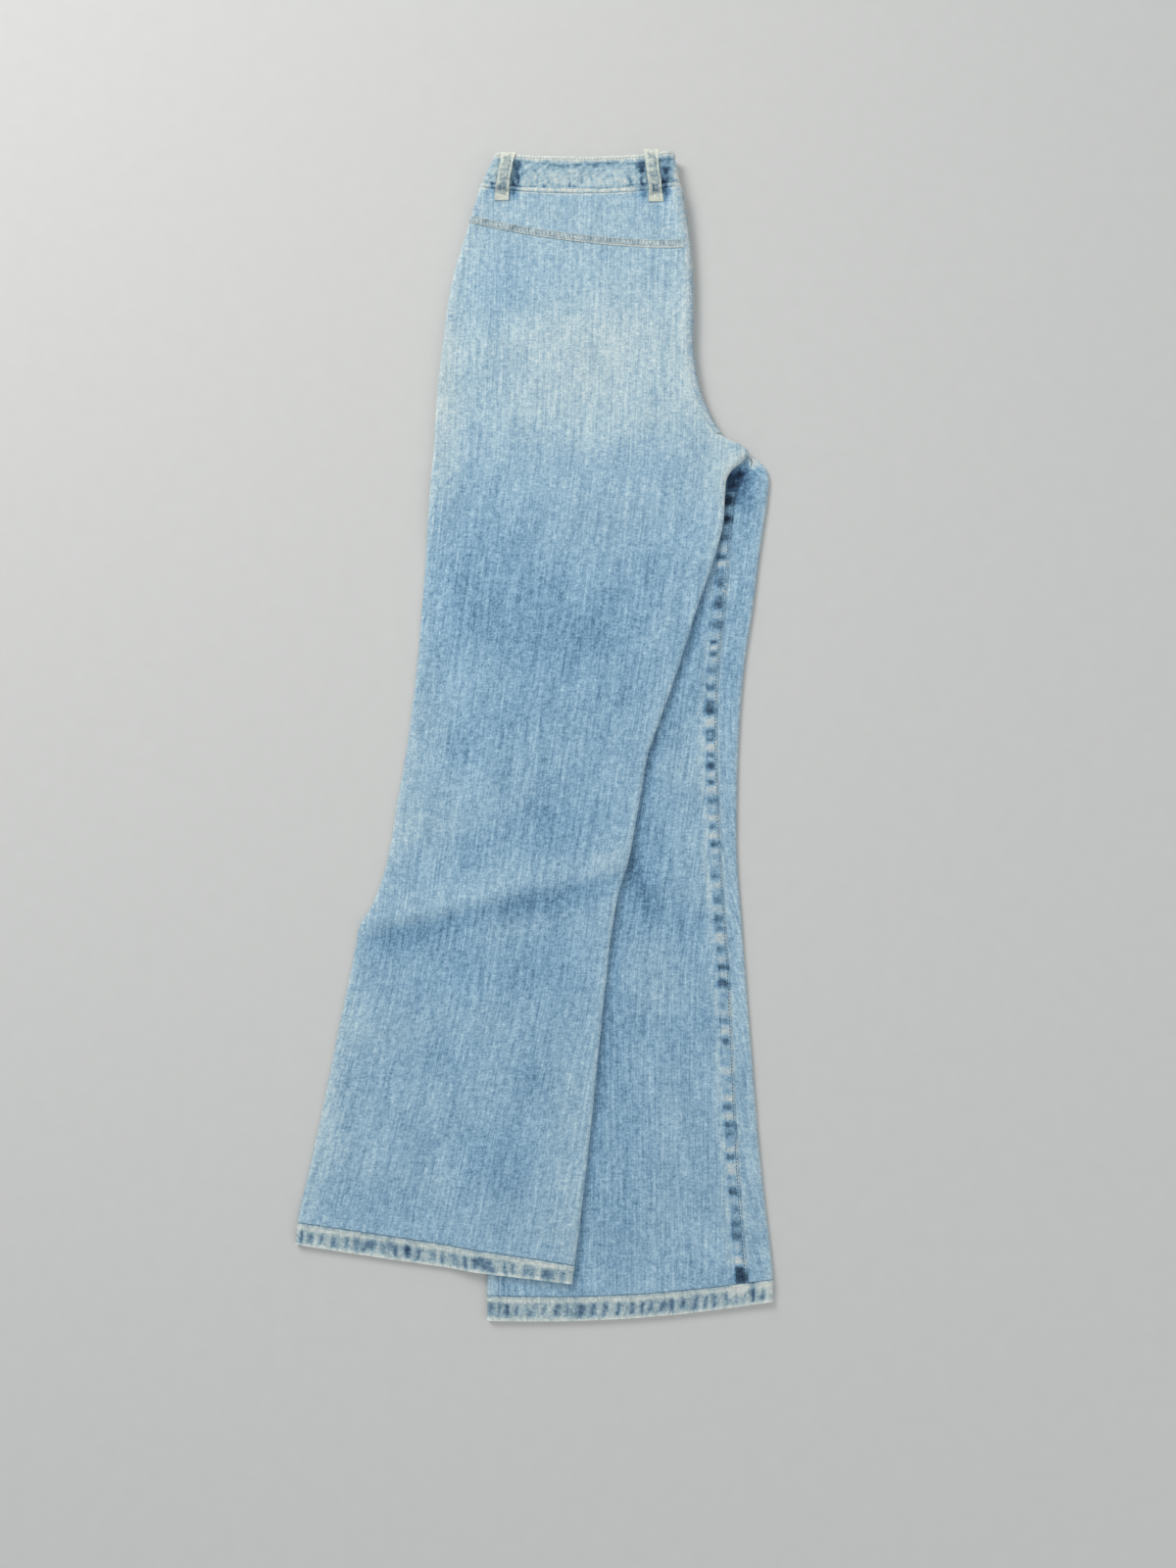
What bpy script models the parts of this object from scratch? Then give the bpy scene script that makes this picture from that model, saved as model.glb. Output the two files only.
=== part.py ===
# Bootcut jeans, folded once along the centre with the fronts inside and laid flat.
# The left leg lies on top, back up and swung to the left. The right leg lies under it, front up.
# Tables and lengths are in millimetres: x to the right, y towards the waist, z up from the floor.

import math
from collections import namedtuple

import bpy
import numpy as np
from mathutils import Vector

MM = 0.001

# Cloth
DENIM = 1.2             # one layer, and the thickness of each leg panel and yoke
DOUBLED = 2.4           # waistband and turned-up hem
FELL = 1.0              # felled seam, above the panel that it lies on
SEAM_GAP = 0.3          # between neighbouring pieces
FRONT_PART = 0.42       # a front's edge stands back from the centre this much more for each mm of its cloth
CROTCH_PART = 0.6       # the backs stand this much further from the centre where four seams meet

# Seams and folds
OUTSEAM_IN = 10.0       # outseam, in from the side fold on the hidden face of each leg
SIDE_ROLL = 2.6         # half the depth of a side fold
CENTRE_ROLL = 7.5       # the same at the seat, where the back folds round the whole front
LEG_ROLL = 3.4          # the same along the inner edge of a leg
FRONT_ROLL = 3.0        # the same where the fronts fold inside the back
FULL_NEST = 2.9         # how far in that fold lies, beyond the cloth of both
FELL_WIDTH = 9.0        # felled inseam
YOKE_FELL_WIDTH = 7.0   # felled yoke seam
SIDE_PUFF = 1.2         # how much further apart two layers lie beside their side fold
EDGE_PUFF = 2.0         # the same beside the inner edge
PUFF_REACH = 16.0       # how far from a fold that lasts
LIFT_REACH = 25.0       # how far from the inner edge the left half stands off the right half
RIDGE_FLATTENING = 0.8  # how much less of the crease across the left leg shows where its fold is full
HALF_NEST = 2.0         # side fold of the right half, in from that of the left half
DRAPE_START = 40.0      # where the left leg starts to climb onto the right leg, out from its side fold
DRAPE_END = 8.0         # where it has climbed all the way, in from the same fold
KNEE_TURN = 25.0        # degrees of the seat's fold that lie past its last straight column

# Belt loops
LOOP_WIDTH = 12.0
LOOP_EDGE = 0.3         # part of the width that each edge column lies from the next
LOOP_CLOTH = 1.2
LOOP_RISE = 1.6         # daylight under the middle of a loop
LOOP_TACK = 6.0         # each end lies flat for this length
LOOP_CLEAR = 0.4        # under its ends, where the cloth is not quite flat
LOOP_STEPS = 10
LOOP_ROW_SPACING = 2.0  # of the rows that its height is read from

# Waist button, between the fronts
BUTTON_RADIUS = 8.0
BUTTON_THICKNESS = 1.0
BUTTON_IN = 14.0        # from the fold of the fronts to its middle

# Spacing of the rows, and how many columns one section has
ROW_SPACING = 28.0
BAND_SPACING = 17.0     # in the waistband
FINE_SPACING = 10.0     # where the left half asks for the height of the right half
SIDE_STEPS = 4
ACROSS_STEPS = 9
TURN_STEPS = 4
TAIL_STEPS = 3
TAIL_MARKS = 7          # finer points on the same stretch, before it is divided evenly
FRONT_STEPS = 8
FRONT_TAIL_STEPS = 3

# A row of a table is one section across the folded garment, from its side fold to its inner edge.
# wrap: how far the inseam lies in from the inner edge, on the face the back panel folds onto
# turn: 0 where the two halves share one fold at the seat, 1 where each leg is closed by itself
# nest: how far the fold of the fronts lies inside the fold of the back
# lift: how far the left half stands off the right half at the inner edge
# floor: middle of the lowest layer;  step: from one layer's middle to the next
# ridge: crease across the left leg, along its row
Row = namedtuple("Row", "side_x side_y edge_x edge_y sag wrap turn nest lift floor step ridge")

WAIST_TOP, WAIST_SEAM, YOKE_SEAM = 0, 1, 2
HIP = [
    Row(-40.5, 531.5, 128.5, 532.5, 3.4, 0.0, 0.0, FULL_NEST, 2.4, 2.7, 3.2, 0.0),
    Row(-55.0, 499.0, 134.5, 499.0, 5.0, 0.0, 0.0, FULL_NEST, 2.4, 2.7, 3.2, 0.0),
    Row(-63.2, 472.0, 142.0, 448.0, 5.5, 0.0, 0.0, FULL_NEST, 1.6, 1.3, 2.6, 0.0),
    Row(-82.0, 405.0, 145.0, 388.0, 3.0, 0.0, 0.0, FULL_NEST, 1.6, 0.6, 2.2, 0.0),
    Row(-90.0, 345.0, 145.5, 336.0, 1.5, 0.0, 0.0, FULL_NEST, 1.6, 0.6, 2.2, 0.0),
    Row(-94.5, 297.0, 155.0, 292.0, 0.5, 0.0, 0.0, FULL_NEST, 1.6, 0.6, 2.2, 0.0),
    Row(-96.0, 268.0, 171.0, 262.0, 0.0, 0.0, 0.0, 1.6, 1.6, 0.6, 2.2, 0.0),
    Row(-97.0, 245.0, 195.5, 241.8, 0.0, 0.0, 0.0, 1.4, 1.6, 0.6, 2.2, 0.0),
]
LEFT_LEG = [
    Row(-97.3, 241.5, 189.0, 235.0, 0.0, 5.0, 0.3, 1.2, 1.6, 0.6, 2.2, 0.0),
    Row(-97.8, 236.0, 181.5, 229.0, 0.0, 13.0, 0.6, 0.3, 1.6, 0.6, 2.2, 0.0),
    Row(-98.5, 228.0, 176.5, 221.5, 0.0, 24.0, 0.85, 0.0, 1.6, 0.6, 2.2, 0.0),
    Row(-99.8, 210.0, 174.0, 205.0, 0.0, 33.0, 1.0, 0.0, 1.6, 0.6, 2.2, 0.0),
    Row(-101.5, 182.0, 172.5, 180.0, 0.0, 35.0, 1.0, 0.0, 1.5, 0.6, 2.2, 0.0),
    Row(-103.5, 150.0, 165.0, 149.0, 0.0, 33.0, 1.0, 0.0, 1.2, 0.6, 2.2, 0.0),
    Row(-107.0, 99.0, 148.0, 100.0, 0.0, 31.0, 1.0, 0.0, 0.8, 0.6, 2.2, 0.0),
    Row(-111.0, 44.0, 130.0, 43.0, 0.0, 28.0, 1.0, 0.0, 0.5, 0.6, 2.2, 0.0),
    Row(-117.0, -11.0, 112.0, -8.0, 0.0, 25.0, 1.0, 0.0, 0.3, 0.6, 2.2, 0.0),
    Row(-122.0, -47.0, 102.0, -36.0, 0.0, 23.0, 1.0, 0.0, 0.3, 0.6, 2.2, 0.0),
    Row(-128.0, -83.0, 95.0, -73.0, 0.0, 22.0, 1.0, 0.0, 0.3, 0.6, 2.2, 0.0),
    Row(-133.5, -120.0, 91.0, -96.0, 0.0, 21.0, 1.0, 0.0, 0.3, 0.6, 2.2, 0.0),
    Row(-141.0, -153.0, 87.0, -116.0, 0.0, 20.0, 1.0, 0.0, 0.3, 0.6, 2.2, 0.5),
    Row(-152.0, -181.0, 84.0, -131.0, 0.0, 20.0, 1.0, 0.0, 0.3, 0.6, 2.2, 1.7),
    Row(-160.0, -193.0, 80.5, -144.0, 0.0, 19.0, 1.0, 0.0, 0.3, 0.6, 2.2, 2.7),
    Row(-163.5, -210.0, 75.5, -160.0, 0.0, 19.0, 1.0, 0.0, 0.3, 0.6, 2.2, 0.8),
    Row(-168.0, -234.0, 69.5, -191.0, 0.0, 19.0, 1.0, 0.0, 0.3, 0.6, 2.2, 0.0),
    Row(-178.0, -284.0, 62.0, -252.0, 0.0, 20.0, 1.0, 0.0, 0.3, 0.6, 2.2, 0.0),
    Row(-191.5, -355.0, 53.0, -338.0, 0.0, 22.0, 1.0, 0.0, 0.3, 0.6, 2.2, 0.0),
    Row(-203.0, -412.0, 44.0, -420.0, 0.0, 25.0, 1.0, 0.0, 0.3, 0.6, 2.2, 0.0),
    Row(-212.3, -456.0, 35.0, -492.0, 0.0, 27.0, 1.0, 0.0, 0.3, 1.2, 3.2, 0.0),
    Row(-214.5, -475.0, 33.0, -508.0, 2.0, 27.0, 1.0, 0.0, 0.3, 1.2, 3.2, 0.0),
]
RIGHT_LEG = [
    Row(-95.0, 242.0, 205.0, 238.3, 0.0, 5.0, 0.3, 1.0, 1.6, 0.6, 2.2, 0.0),
    Row(-94.5, 238.0, 211.8, 232.0, 0.0, 13.0, 0.6, 0.3, 1.6, 0.6, 2.2, 0.0),
    Row(-93.5, 231.0, 215.0, 224.5, 0.0, 19.5, 0.85, 0.0, 1.6, 0.6, 2.2, 0.0),
    Row(-90.0, 212.0, 214.5, 208.0, 0.0, 29.5, 1.0, 0.0, 1.6, 0.6, 2.2, 0.0),
    Row(-80.0, 182.0, 211.0, 182.0, 0.0, 30.5, 1.0, 0.0, 0.0, 0.6, 2.2, 0.0),
    Row(-68.0, 148.0, 206.0, 150.0, 0.0, 28.5, 1.0, 0.0, 0.0, 0.6, 2.2, 0.0),
    Row(-56.0, 99.0, 199.5, 100.0, 0.0, 26.5, 1.0, 0.0, 0.0, 0.6, 2.2, 0.0),
    Row(-48.0, 40.0, 190.5, 42.0, 0.0, 23.5, 1.0, 0.0, 0.0, 0.6, 2.2, 0.0),
    Row(-42.0, -12.0, 185.5, -15.0, 0.0, 20.5, 1.0, 0.0, 0.0, 0.6, 2.2, 0.0),
    Row(-38.5, -75.0, 183.0, -75.0, 0.0, 17.0, 1.0, 0.0, 0.0, 0.6, 2.2, 0.0),
    Row(-37.0, -130.0, 182.5, -130.0, 0.0, 14.5, 1.0, 0.0, 0.0, 0.6, 2.2, 0.0),
    Row(-40.0, -188.0, 186.0, -188.0, 0.0, 14.5, 1.0, 0.0, 0.0, 0.6, 2.2, 0.0),
    Row(-42.5, -250.0, 190.0, -250.0, 0.0, 15.0, 1.0, 0.0, 0.0, 0.6, 2.2, 0.0),
    Row(-43.0, -320.0, 195.0, -320.0, 0.0, 17.5, 1.0, 0.0, 0.0, 0.6, 2.2, 0.0),
    Row(-43.0, -385.0, 199.5, -385.0, 0.0, 19.5, 1.0, 0.0, 0.0, 0.6, 2.2, 0.0),
    Row(-43.0, -440.0, 204.5, -438.0, 1.5, 21.5, 1.0, 0.0, 0.0, 0.6, 2.2, 0.0),
    Row(-43.0, -487.0, 209.0, -477.0, 4.5, 23.0, 1.0, 0.0, 0.0, 0.6, 2.2, 0.0),
    Row(-43.0, -519.0, 211.0, -505.0, 6.5, 23.0, 1.0, 0.0, 0.0, 1.2, 3.2, 0.0),
    Row(-43.0, -541.0, 211.0, -524.5, 6.5, 22.5, 1.0, 0.0, 0.0, 1.2, 3.2, 0.0),
]

CLOSED_ROW = len(HIP) + 3       # from this row down, each leg is closed by itself

# One half of the folded garment: the heights of its back and front layers, and of its shared fold
Half = namedtuple("Half", "table back front middle sign")

# lean: how far its lower end lies to the right of its upper end
Loop = namedtuple("Loop", "name x top_y lean length")
LOOPS = [
    Loop("side", -28.9, 531.9, -5.9, 45.5),
    Loop("centre", 106.3, 534.4, 4.0, 50.0),
]


def lerp(start, end, share):
    return start + (end - start) * share


def ease(share):
    share = min(max(share, 0.0), 1.0)
    return share * share * (3.0 - 2.0 * share)


def row_width(row):
    return math.hypot(row.edge_x - row.side_x, row.edge_y - row.side_y)


def row_y(row, share):
    return lerp(row.side_y, row.edge_y, share) - row.sag * 4.0 * share * (1.0 - share)


def on_row(row, across):
    """Where the point this far from the side fold lies in plan."""
    share = across / row_width(row)
    return lerp(row.side_x, row.edge_x, share), row_y(row, share)


def rows_between(table, first, last, spacing):
    """Rows on a smooth curve through the table, from one of its rows to another."""
    values = np.array(table, dtype=float)
    moves = np.diff(values[:, :4], axis=0)
    lengths = np.hypot(moves[:, 0], moves[:, 1]) / 2.0 + np.hypot(moves[:, 2], moves[:, 3]) / 2.0
    slopes = np.diff(values, axis=0) / lengths[:, None]
    tangents = np.empty_like(values)
    tangents[0] = slopes[0]
    tangents[-1] = slopes[-1]
    before, after = lengths[:-1, None], lengths[1:, None]
    tangents[1:-1] = (slopes[:-1] * after + slopes[1:] * before) / (before + after)
    rows = [table[first]]
    for index in range(first, last):
        length = lengths[index]
        count = max(1, round(length / spacing))
        for number in range(1, count + 1):
            u = number / count
            keep = (2.0 * u ** 3 - 3.0 * u ** 2 + 1.0) * values[index]
            reach = (3.0 * u ** 2 - 2.0 * u ** 3) * values[index + 1]
            leave = (u ** 3 - 2.0 * u ** 2 + u) * length * tangents[index]
            arrive = (u ** 3 - u ** 2) * length * tangents[index + 1]
            rows.append(Row(*(keep + reach + leave + arrive)))
    return rows


def lowered(row, distance):
    return row._replace(side_y=row.side_y - distance, edge_y=row.edge_y - distance)


def puff(row, across):
    """How much further apart two layers of one half lie near the folds at the row's ends."""
    beside = math.exp(-max(across, 0.0) / PUFF_REACH)
    inside = math.exp(-max(row_width(row) - across, 0.0) / PUFF_REACH)
    return SIDE_PUFF * beside + EDGE_PUFF * inside


# The right half lies on the floor

def right_back(row, across):
    return row.floor


def right_front(row, across):
    return row.floor + row.step + puff(row, across)


def right_middle(row):
    return right_front(row, row_width(row)) + (row.step + row.lift) / 2.0


RIGHT_TABLE = [row._replace(side_x=row.side_x + HALF_NEST) for row in HIP] + RIGHT_LEG
RIGHT_HALF = Half(RIGHT_TABLE, right_back, right_front, right_middle, -1.0)
RIGHT_ROWS = rows_between(RIGHT_TABLE, 0, len(RIGHT_TABLE) - 1, FINE_SPACING)[::-1]


def right_row_under(x, y):
    """The right half's section through a point in plan, and how far across it the point lies."""
    side_ys = [row.side_y for row in RIGHT_ROWS]
    edge_ys = [row.edge_y for row in RIGHT_ROWS]
    side_x = np.interp(y, side_ys, [row.side_x for row in RIGHT_ROWS])
    edge_x = np.interp(y, edge_ys, [row.edge_x for row in RIGHT_ROWS])
    share = min(max((x - side_x) / (edge_x - side_x), 0.0), 1.0)
    ys = [row_y(row, share) for row in RIGHT_ROWS]
    floor = np.interp(y, ys, [row.floor for row in RIGHT_ROWS])
    step = np.interp(y, ys, [row.step for row in RIGHT_ROWS])
    row = RIGHT_ROWS[0]._replace(side_x=side_x, side_y=y, edge_x=edge_x, edge_y=y, floor=floor, step=step)
    return row, x - side_x


# The left half lies on the right half, and on the floor beside it

def left_front(row, across):
    under, under_across = right_row_under(*on_row(row, across))
    cover = ease((under_across + DRAPE_START) / (DRAPE_START - DRAPE_END))
    lift = row.lift * math.exp(-max(row_width(row) - across, 0.0) / LIFT_REACH)
    return lerp(row.floor, right_front(under, under_across) + under.step + lift, cover)


def left_back(row, across):
    apart = puff(row, across)
    ridge = row.ridge * (1.0 - RIDGE_FLATTENING * min(apart / EDGE_PUFF, 1.0))
    return left_front(row, across) + row.step + apart + ridge


def left_middle(row):
    under, under_across = right_row_under(row.edge_x, row.edge_y)
    return right_front(under, under_across) + (under.step + row.lift) / 2.0


LEFT_TABLE = HIP + LEFT_LEG
LEFT_HALF = Half(LEFT_TABLE, left_back, left_front, left_middle, 1.0)


# Sections: points as (across, height)

def resampled(points, steps):
    """The same path in equal steps."""
    path = np.array(points)
    lengths = np.concatenate(([0.0], np.cumsum(np.linalg.norm(np.diff(path, axis=0), axis=1))))
    marks = np.linspace(0.0, lengths[-1], steps + 1)
    return list(zip(np.interp(marks, lengths, path[:, 0]), np.interp(marks, lengths, path[:, 1])))


def turn_end(row):
    """Angle at which the back panel's inner fold ends, 0 at the seat and -90 degrees on a leg."""
    return math.radians(-90.0 * row.turn ** 2)


def back_section(half, row, cloth):
    """From the outseam round the side fold, across the back, and round the inner edge."""
    side = cloth / 2.0 + SIDE_ROLL
    back = half.back(row, side)
    axis = (back + half.front(row, side)) / 2.0
    points = [(OUTSEAM_IN, half.front(row, OUTSEAM_IN))]
    for number in range(SIDE_STEPS + 1):
        angle = math.radians(-90.0 - 180.0 * number / SIDE_STEPS)
        points.append((side + SIDE_ROLL * math.cos(angle), axis + (back - axis) * math.sin(angle)))

    roll = lerp(CENTRE_ROLL, LEG_ROLL, row.turn)
    hinge = row_width(row) - cloth / 2.0 - roll
    for number in range(1, ACROSS_STEPS):
        across = lerp(side, hinge, number / ACROSS_STEPS)
        points.append((across, half.back(row, across)))

    back = half.back(row, hinge)
    parting = SEAM_GAP / 2.0 + CROTCH_PART * (1.0 - row.nest / FULL_NEST)
    shared = half.middle(row) + half.sign * parting
    seam = lerp(shared, half.front(row, hinge), 1.0 - (1.0 - row.turn) ** 2)
    end = turn_end(row)
    axis = (seam - back * math.sin(end)) / (1.0 - math.sin(end))

    def on_fold(angle):
        return hinge + roll * math.cos(angle), axis + (back - axis) * math.sin(angle)

    knee = end + math.radians(KNEE_TURN) * (1.0 - row.turn)
    for number in range(TURN_STEPS + 1):
        points.append(on_fold(lerp(math.pi / 2.0, knee, number / TURN_STEPS)))

    shares = np.linspace(0.0, 1.0, TAIL_MARKS)
    tail = [on_fold(lerp(knee, end, share)) for share in shares]
    tail_across, tail_height = tail[-1]
    inseam = min(row_width(row) - row.wrap, tail_across)
    for share in shares[1:]:
        across = lerp(tail_across, inseam, share)
        tail.append((across, tail_height + half.front(row, across) - half.front(row, tail_across)))
    return points + resampled(tail, TAIL_STEPS)[1:]


def front_section(half, row, cloth):
    """From the outseam across the front to the inseam, or to the fold of the fronts."""
    last_across, last_height = back_section(half, row, cloth)[-1]
    last_height += half.sign * FRONT_PART * cloth * (1.0 - row.turn)
    end = last_across - SEAM_GAP - cloth * math.cos(turn_end(row)) - row.nest
    roll = lerp(FRONT_ROLL, FELL_WIDTH, row.turn)
    hinge = end - roll
    points = []
    for number in range(FRONT_STEPS + 1):
        across = lerp(OUTSEAM_IN + SEAM_GAP, hinge, number / FRONT_STEPS)
        points.append((across, half.front(row, across)))
    hinge_height = points[-1][1]
    for number in range(1, FRONT_TAIL_STEPS + 1):
        angle = math.pi / 2.0 * number / FRONT_TAIL_STEPS
        height = last_height + (hinge_height - last_height) * math.cos(angle)
        points.append((hinge + roll * math.sin(angle), height))
    return points


def placed(row, section):
    """The section's points in space."""
    return [np.array((*on_row(row, across), height)) for across, height in section]


def grid(make_section, half, rows, cloth):
    return [placed(row, make_section(half, row, cloth)) for row in rows]


# Solids

def material(name, colour, roughness, metallic):
    made = bpy.data.materials.new(name)
    made.use_nodes = True
    shader = made.node_tree.nodes["Principled BSDF"]
    shader.inputs["Base Color"].default_value = (*colour, 1.0)
    shader.inputs["Roughness"].default_value = roughness
    shader.inputs["Metallic"].default_value = metallic
    return made


def denim(name, colour):
    return material(name + "_denim", colour, 0.9, 0.0)


MID_BLUE = (0.27, 0.40, 0.50)
PALE_BLUE = (0.37, 0.50, 0.58)
DARK_BLUE = (0.12, 0.20, 0.28)
CREAM = (0.62, 0.60, 0.52)
BRASS = (0.55, 0.45, 0.28)


def sheet(name, points, cloth, colour, ring=False):
    """Cloth of even thickness about a grid of points."""
    rows = len(points)
    columns = len(points[0])
    spans = columns if ring else columns - 1
    faces = []
    for row in range(rows - 1):
        for column in range(spans):
            after = (column + 1) % columns
            corner = row * columns
            below = corner + columns
            faces.append((corner + column, below + column, below + after, corner + after))
    mesh = bpy.data.meshes.new(name)
    mesh.from_pydata([Vector(point) * MM for line in points for point in line], [], faces)
    mesh.shade_smooth()
    piece = bpy.data.objects.new(name, mesh)
    piece.data.materials.append(denim(name, colour))
    jeans.objects.link(piece)
    solid = piece.modifiers.new("cloth", "SOLIDIFY")
    solid.thickness = cloth * MM
    solid.offset = 0.0
    solid.use_even_offset = True
    return piece


def outward(points, row, column):
    """Unit direction off the outer face of a left-half back panel or a right-half front panel."""
    down = points[min(row + 1, len(points) - 1)][column] - points[max(row - 1, 0)][column]
    last = len(points[0]) - 1
    along = points[row][min(column + 1, last)] - points[row][max(column - 1, 0)]
    normal = np.cross(down, along)
    return normal / np.linalg.norm(normal)


def lying_on(points, rows, columns, cloth):
    """Part of a panel's grid, moved off its outer face by a seam's gap."""
    distance = DENIM / 2.0 + SEAM_GAP + cloth / 2.0
    return [[points[row][column] + outward(points, row, column) * distance for column in columns]
            for row in rows]


def leg_pieces(half, side):
    """Back, front, yoke and hem of one half, and the grids that seams lie on."""
    table = half.table
    hem_top = len(table) - 2
    yoke_rows = rows_between(table, WAIST_SEAM, YOKE_SEAM, ROW_SPACING)
    yoke_rows[0] = lowered(yoke_rows[0], SEAM_GAP)
    back_rows = rows_between(table, YOKE_SEAM, hem_top, ROW_SPACING)
    felled = lerp(np.array(back_rows[0]), np.array(back_rows[1]), YOKE_FELL_WIDTH / ROW_SPACING)
    back_rows[0:1] = [lowered(back_rows[0], SEAM_GAP), Row(*felled)]
    front_rows = yoke_rows[:-1] + back_rows
    hem_rows = rows_between(table, hem_top, hem_top + 1, ROW_SPACING)
    hem_rows[0] = lowered(hem_rows[0], SEAM_GAP)

    yoke = grid(back_section, half, yoke_rows, DENIM)
    back = grid(back_section, half, back_rows, DENIM)
    front = grid(front_section, half, front_rows, DENIM)
    hem = []
    for row in hem_rows:
        over = placed(row, back_section(half, row, DOUBLED))
        under = placed(row, front_section(half, row, DOUBLED))
        hem.append(over + under[-2:0:-1])

    sheet("yoke_" + side, yoke, DENIM, PALE_BLUE)
    sheet("back_" + side, back, DENIM, MID_BLUE)
    sheet("front_" + side, front, DENIM, MID_BLUE)
    sheet("hem_" + side, hem, DOUBLED, PALE_BLUE, ring=True)
    return yoke, back, front


def waistband():
    """One band: left front, left back, round the seat fold, right back, right front."""
    band = []
    for left_row, right_row in zip(rows_between(LEFT_TABLE, WAIST_TOP, WAIST_SEAM, BAND_SPACING),
                                   rows_between(RIGHT_TABLE, WAIST_TOP, WAIST_SEAM, BAND_SPACING)):
        path = placed(left_row, front_section(LEFT_HALF, left_row, DOUBLED))[:0:-1]
        path += placed(left_row, back_section(LEFT_HALF, left_row, DOUBLED))
        path += placed(right_row, back_section(RIGHT_HALF, right_row, DOUBLED))[-2::-1]
        path += placed(right_row, front_section(RIGHT_HALF, right_row, DOUBLED))[1:]
        band.append(path)
    sheet("waistband", band, DOUBLED, PALE_BLUE)


def felled_seams(left_yoke, left_back, right_front_grid):
    """Seams whose folded edges stand proud of the cloth."""
    seat_turn = SIDE_STEPS + 1 + ACROSS_STEPS
    side_fold = 1 + SIDE_STEPS // 2
    columns = range(side_fold, seat_turn + 1)
    sheet("yoke_seam_left", lying_on(left_back, (0, 1), columns, FELL), FELL, DARK_BLUE)

    crotch = len(rows_between(LEFT_TABLE, YOKE_SEAM, len(HIP) - 1, ROW_SPACING))
    seat = left_yoke[:-1] + left_back[:crotch + 1]
    columns = range(seat_turn + 1, len(seat[0]))
    sheet("seat_seam", lying_on(seat, range(len(seat) - 1), columns, FELL), FELL, MID_BLUE)

    last = len(right_front_grid[0])
    closed = len(rows_between(RIGHT_TABLE, WAIST_SEAM, CLOSED_ROW, ROW_SPACING))
    rows = range(closed, len(right_front_grid))
    columns = range(last - FRONT_TAIL_STEPS - 1, last)
    sheet("inseam_right", lying_on(right_front_grid, rows, columns, FELL), FELL, DARK_BLUE)


def waist_surface(rows, x, y):
    """Top of the left half under a belt loop, on the waistband or on the yoke below it."""
    def across(row):
        return (x - row.side_x) * row_width(row) / (row.edge_x - row.side_x)

    row = min(rows, key=lambda row: abs(on_row(row, across(row))[1] - y))
    seam = HIP[WAIST_SEAM]
    cloth = DOUBLED if y > on_row(seam, across(seam))[1] - 1.0 else DENIM
    return left_back(row, across(row)) + cloth / 2.0


def belt_loop(loop):
    """A strap tacked down at the waist and below the waistband, on the left half and on the right."""
    rows = rows_between(LEFT_TABLE, WAIST_TOP, YOKE_SEAM, LOOP_ROW_SPACING)
    standing, flat = [], []
    for number in range(LOOP_STEPS + 1):
        share = number / LOOP_STEPS
        along = loop.length * share
        rise = LOOP_RISE * ease((min(along, loop.length - along) - LOOP_TACK) / LOOP_TACK)
        middle = loop.x + loop.lean * share
        y = loop.top_y - along
        inner = LOOP_WIDTH * (0.5 - LOOP_EDGE)
        outer = LOOP_WIDTH / 2.0
        xs = [middle + offset for offset in (-outer, -inner, inner, outer)]
        above = LOOP_CLEAR + LOOP_CLOTH / 2.0 + rise
        standing.append([np.array((x, y, waist_surface(rows, x, y) + above)) for x in xs])
        flat.append([np.array((x, y, LOOP_CLOTH / 2.0)) for x in xs])
    sheet("belt_loop_" + loop.name + "_left", standing, LOOP_CLOTH, CREAM)
    sheet("belt_loop_" + loop.name + "_right", flat, LOOP_CLOTH, CREAM)


def waist_button():
    """Lies flat between the two fronts, at the middle of the waistband."""
    top, bottom = RIGHT_TABLE[WAIST_TOP], RIGHT_TABLE[WAIST_SEAM]
    row = Row(*lerp(np.array(top), np.array(bottom), 0.5))
    across = row_width(row) - CENTRE_ROLL - BUTTON_IN
    x, y = on_row(row, across)
    inner = right_front(row, across + BUTTON_RADIUS)
    outer = right_front(row, across - BUTTON_RADIUS)
    z = (inner + outer) / 2.0 + DOUBLED / 2.0 + LOOP_CLEAR + BUTTON_THICKNESS / 2.0
    bpy.ops.mesh.primitive_cylinder_add(
        vertices=24, radius=BUTTON_RADIUS * MM, depth=BUTTON_THICKNESS * MM,
        location=Vector((x, y, z)) * MM)
    button = bpy.context.object
    button.name = "waist_button"
    button.rotation_euler.y = -math.atan2(inner - outer, 2.0 * BUTTON_RADIUS)
    button.data.materials.append(material("waist_button_metal", BRASS, 0.4, 1.0))
    for collection in list(button.users_collection):
        collection.objects.unlink(button)
    jeans.objects.link(button)


for thing in list(bpy.data.objects):
    bpy.data.objects.remove(thing, do_unlink=True)
jeans = bpy.data.collections.new("bootcut_jeans")
bpy.context.scene.collection.children.link(jeans)

waistband()
yoke_grid, back_grid, left_front_grid = leg_pieces(LEFT_HALF, "left")
right_grids = leg_pieces(RIGHT_HALF, "right")
felled_seams(yoke_grid, back_grid, right_grids[2])
for strap in LOOPS:
    belt_loop(strap)
waist_button()
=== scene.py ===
# Bootcut jeans, folded once along the centre with the fronts inside and laid flat.
# The tables are in millimetres: x to the right, y towards the waist, z up. Meshes are made in metres.

import math
import random
from collections import namedtuple

import bpy
import numpy as np
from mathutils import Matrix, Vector, noise


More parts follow.
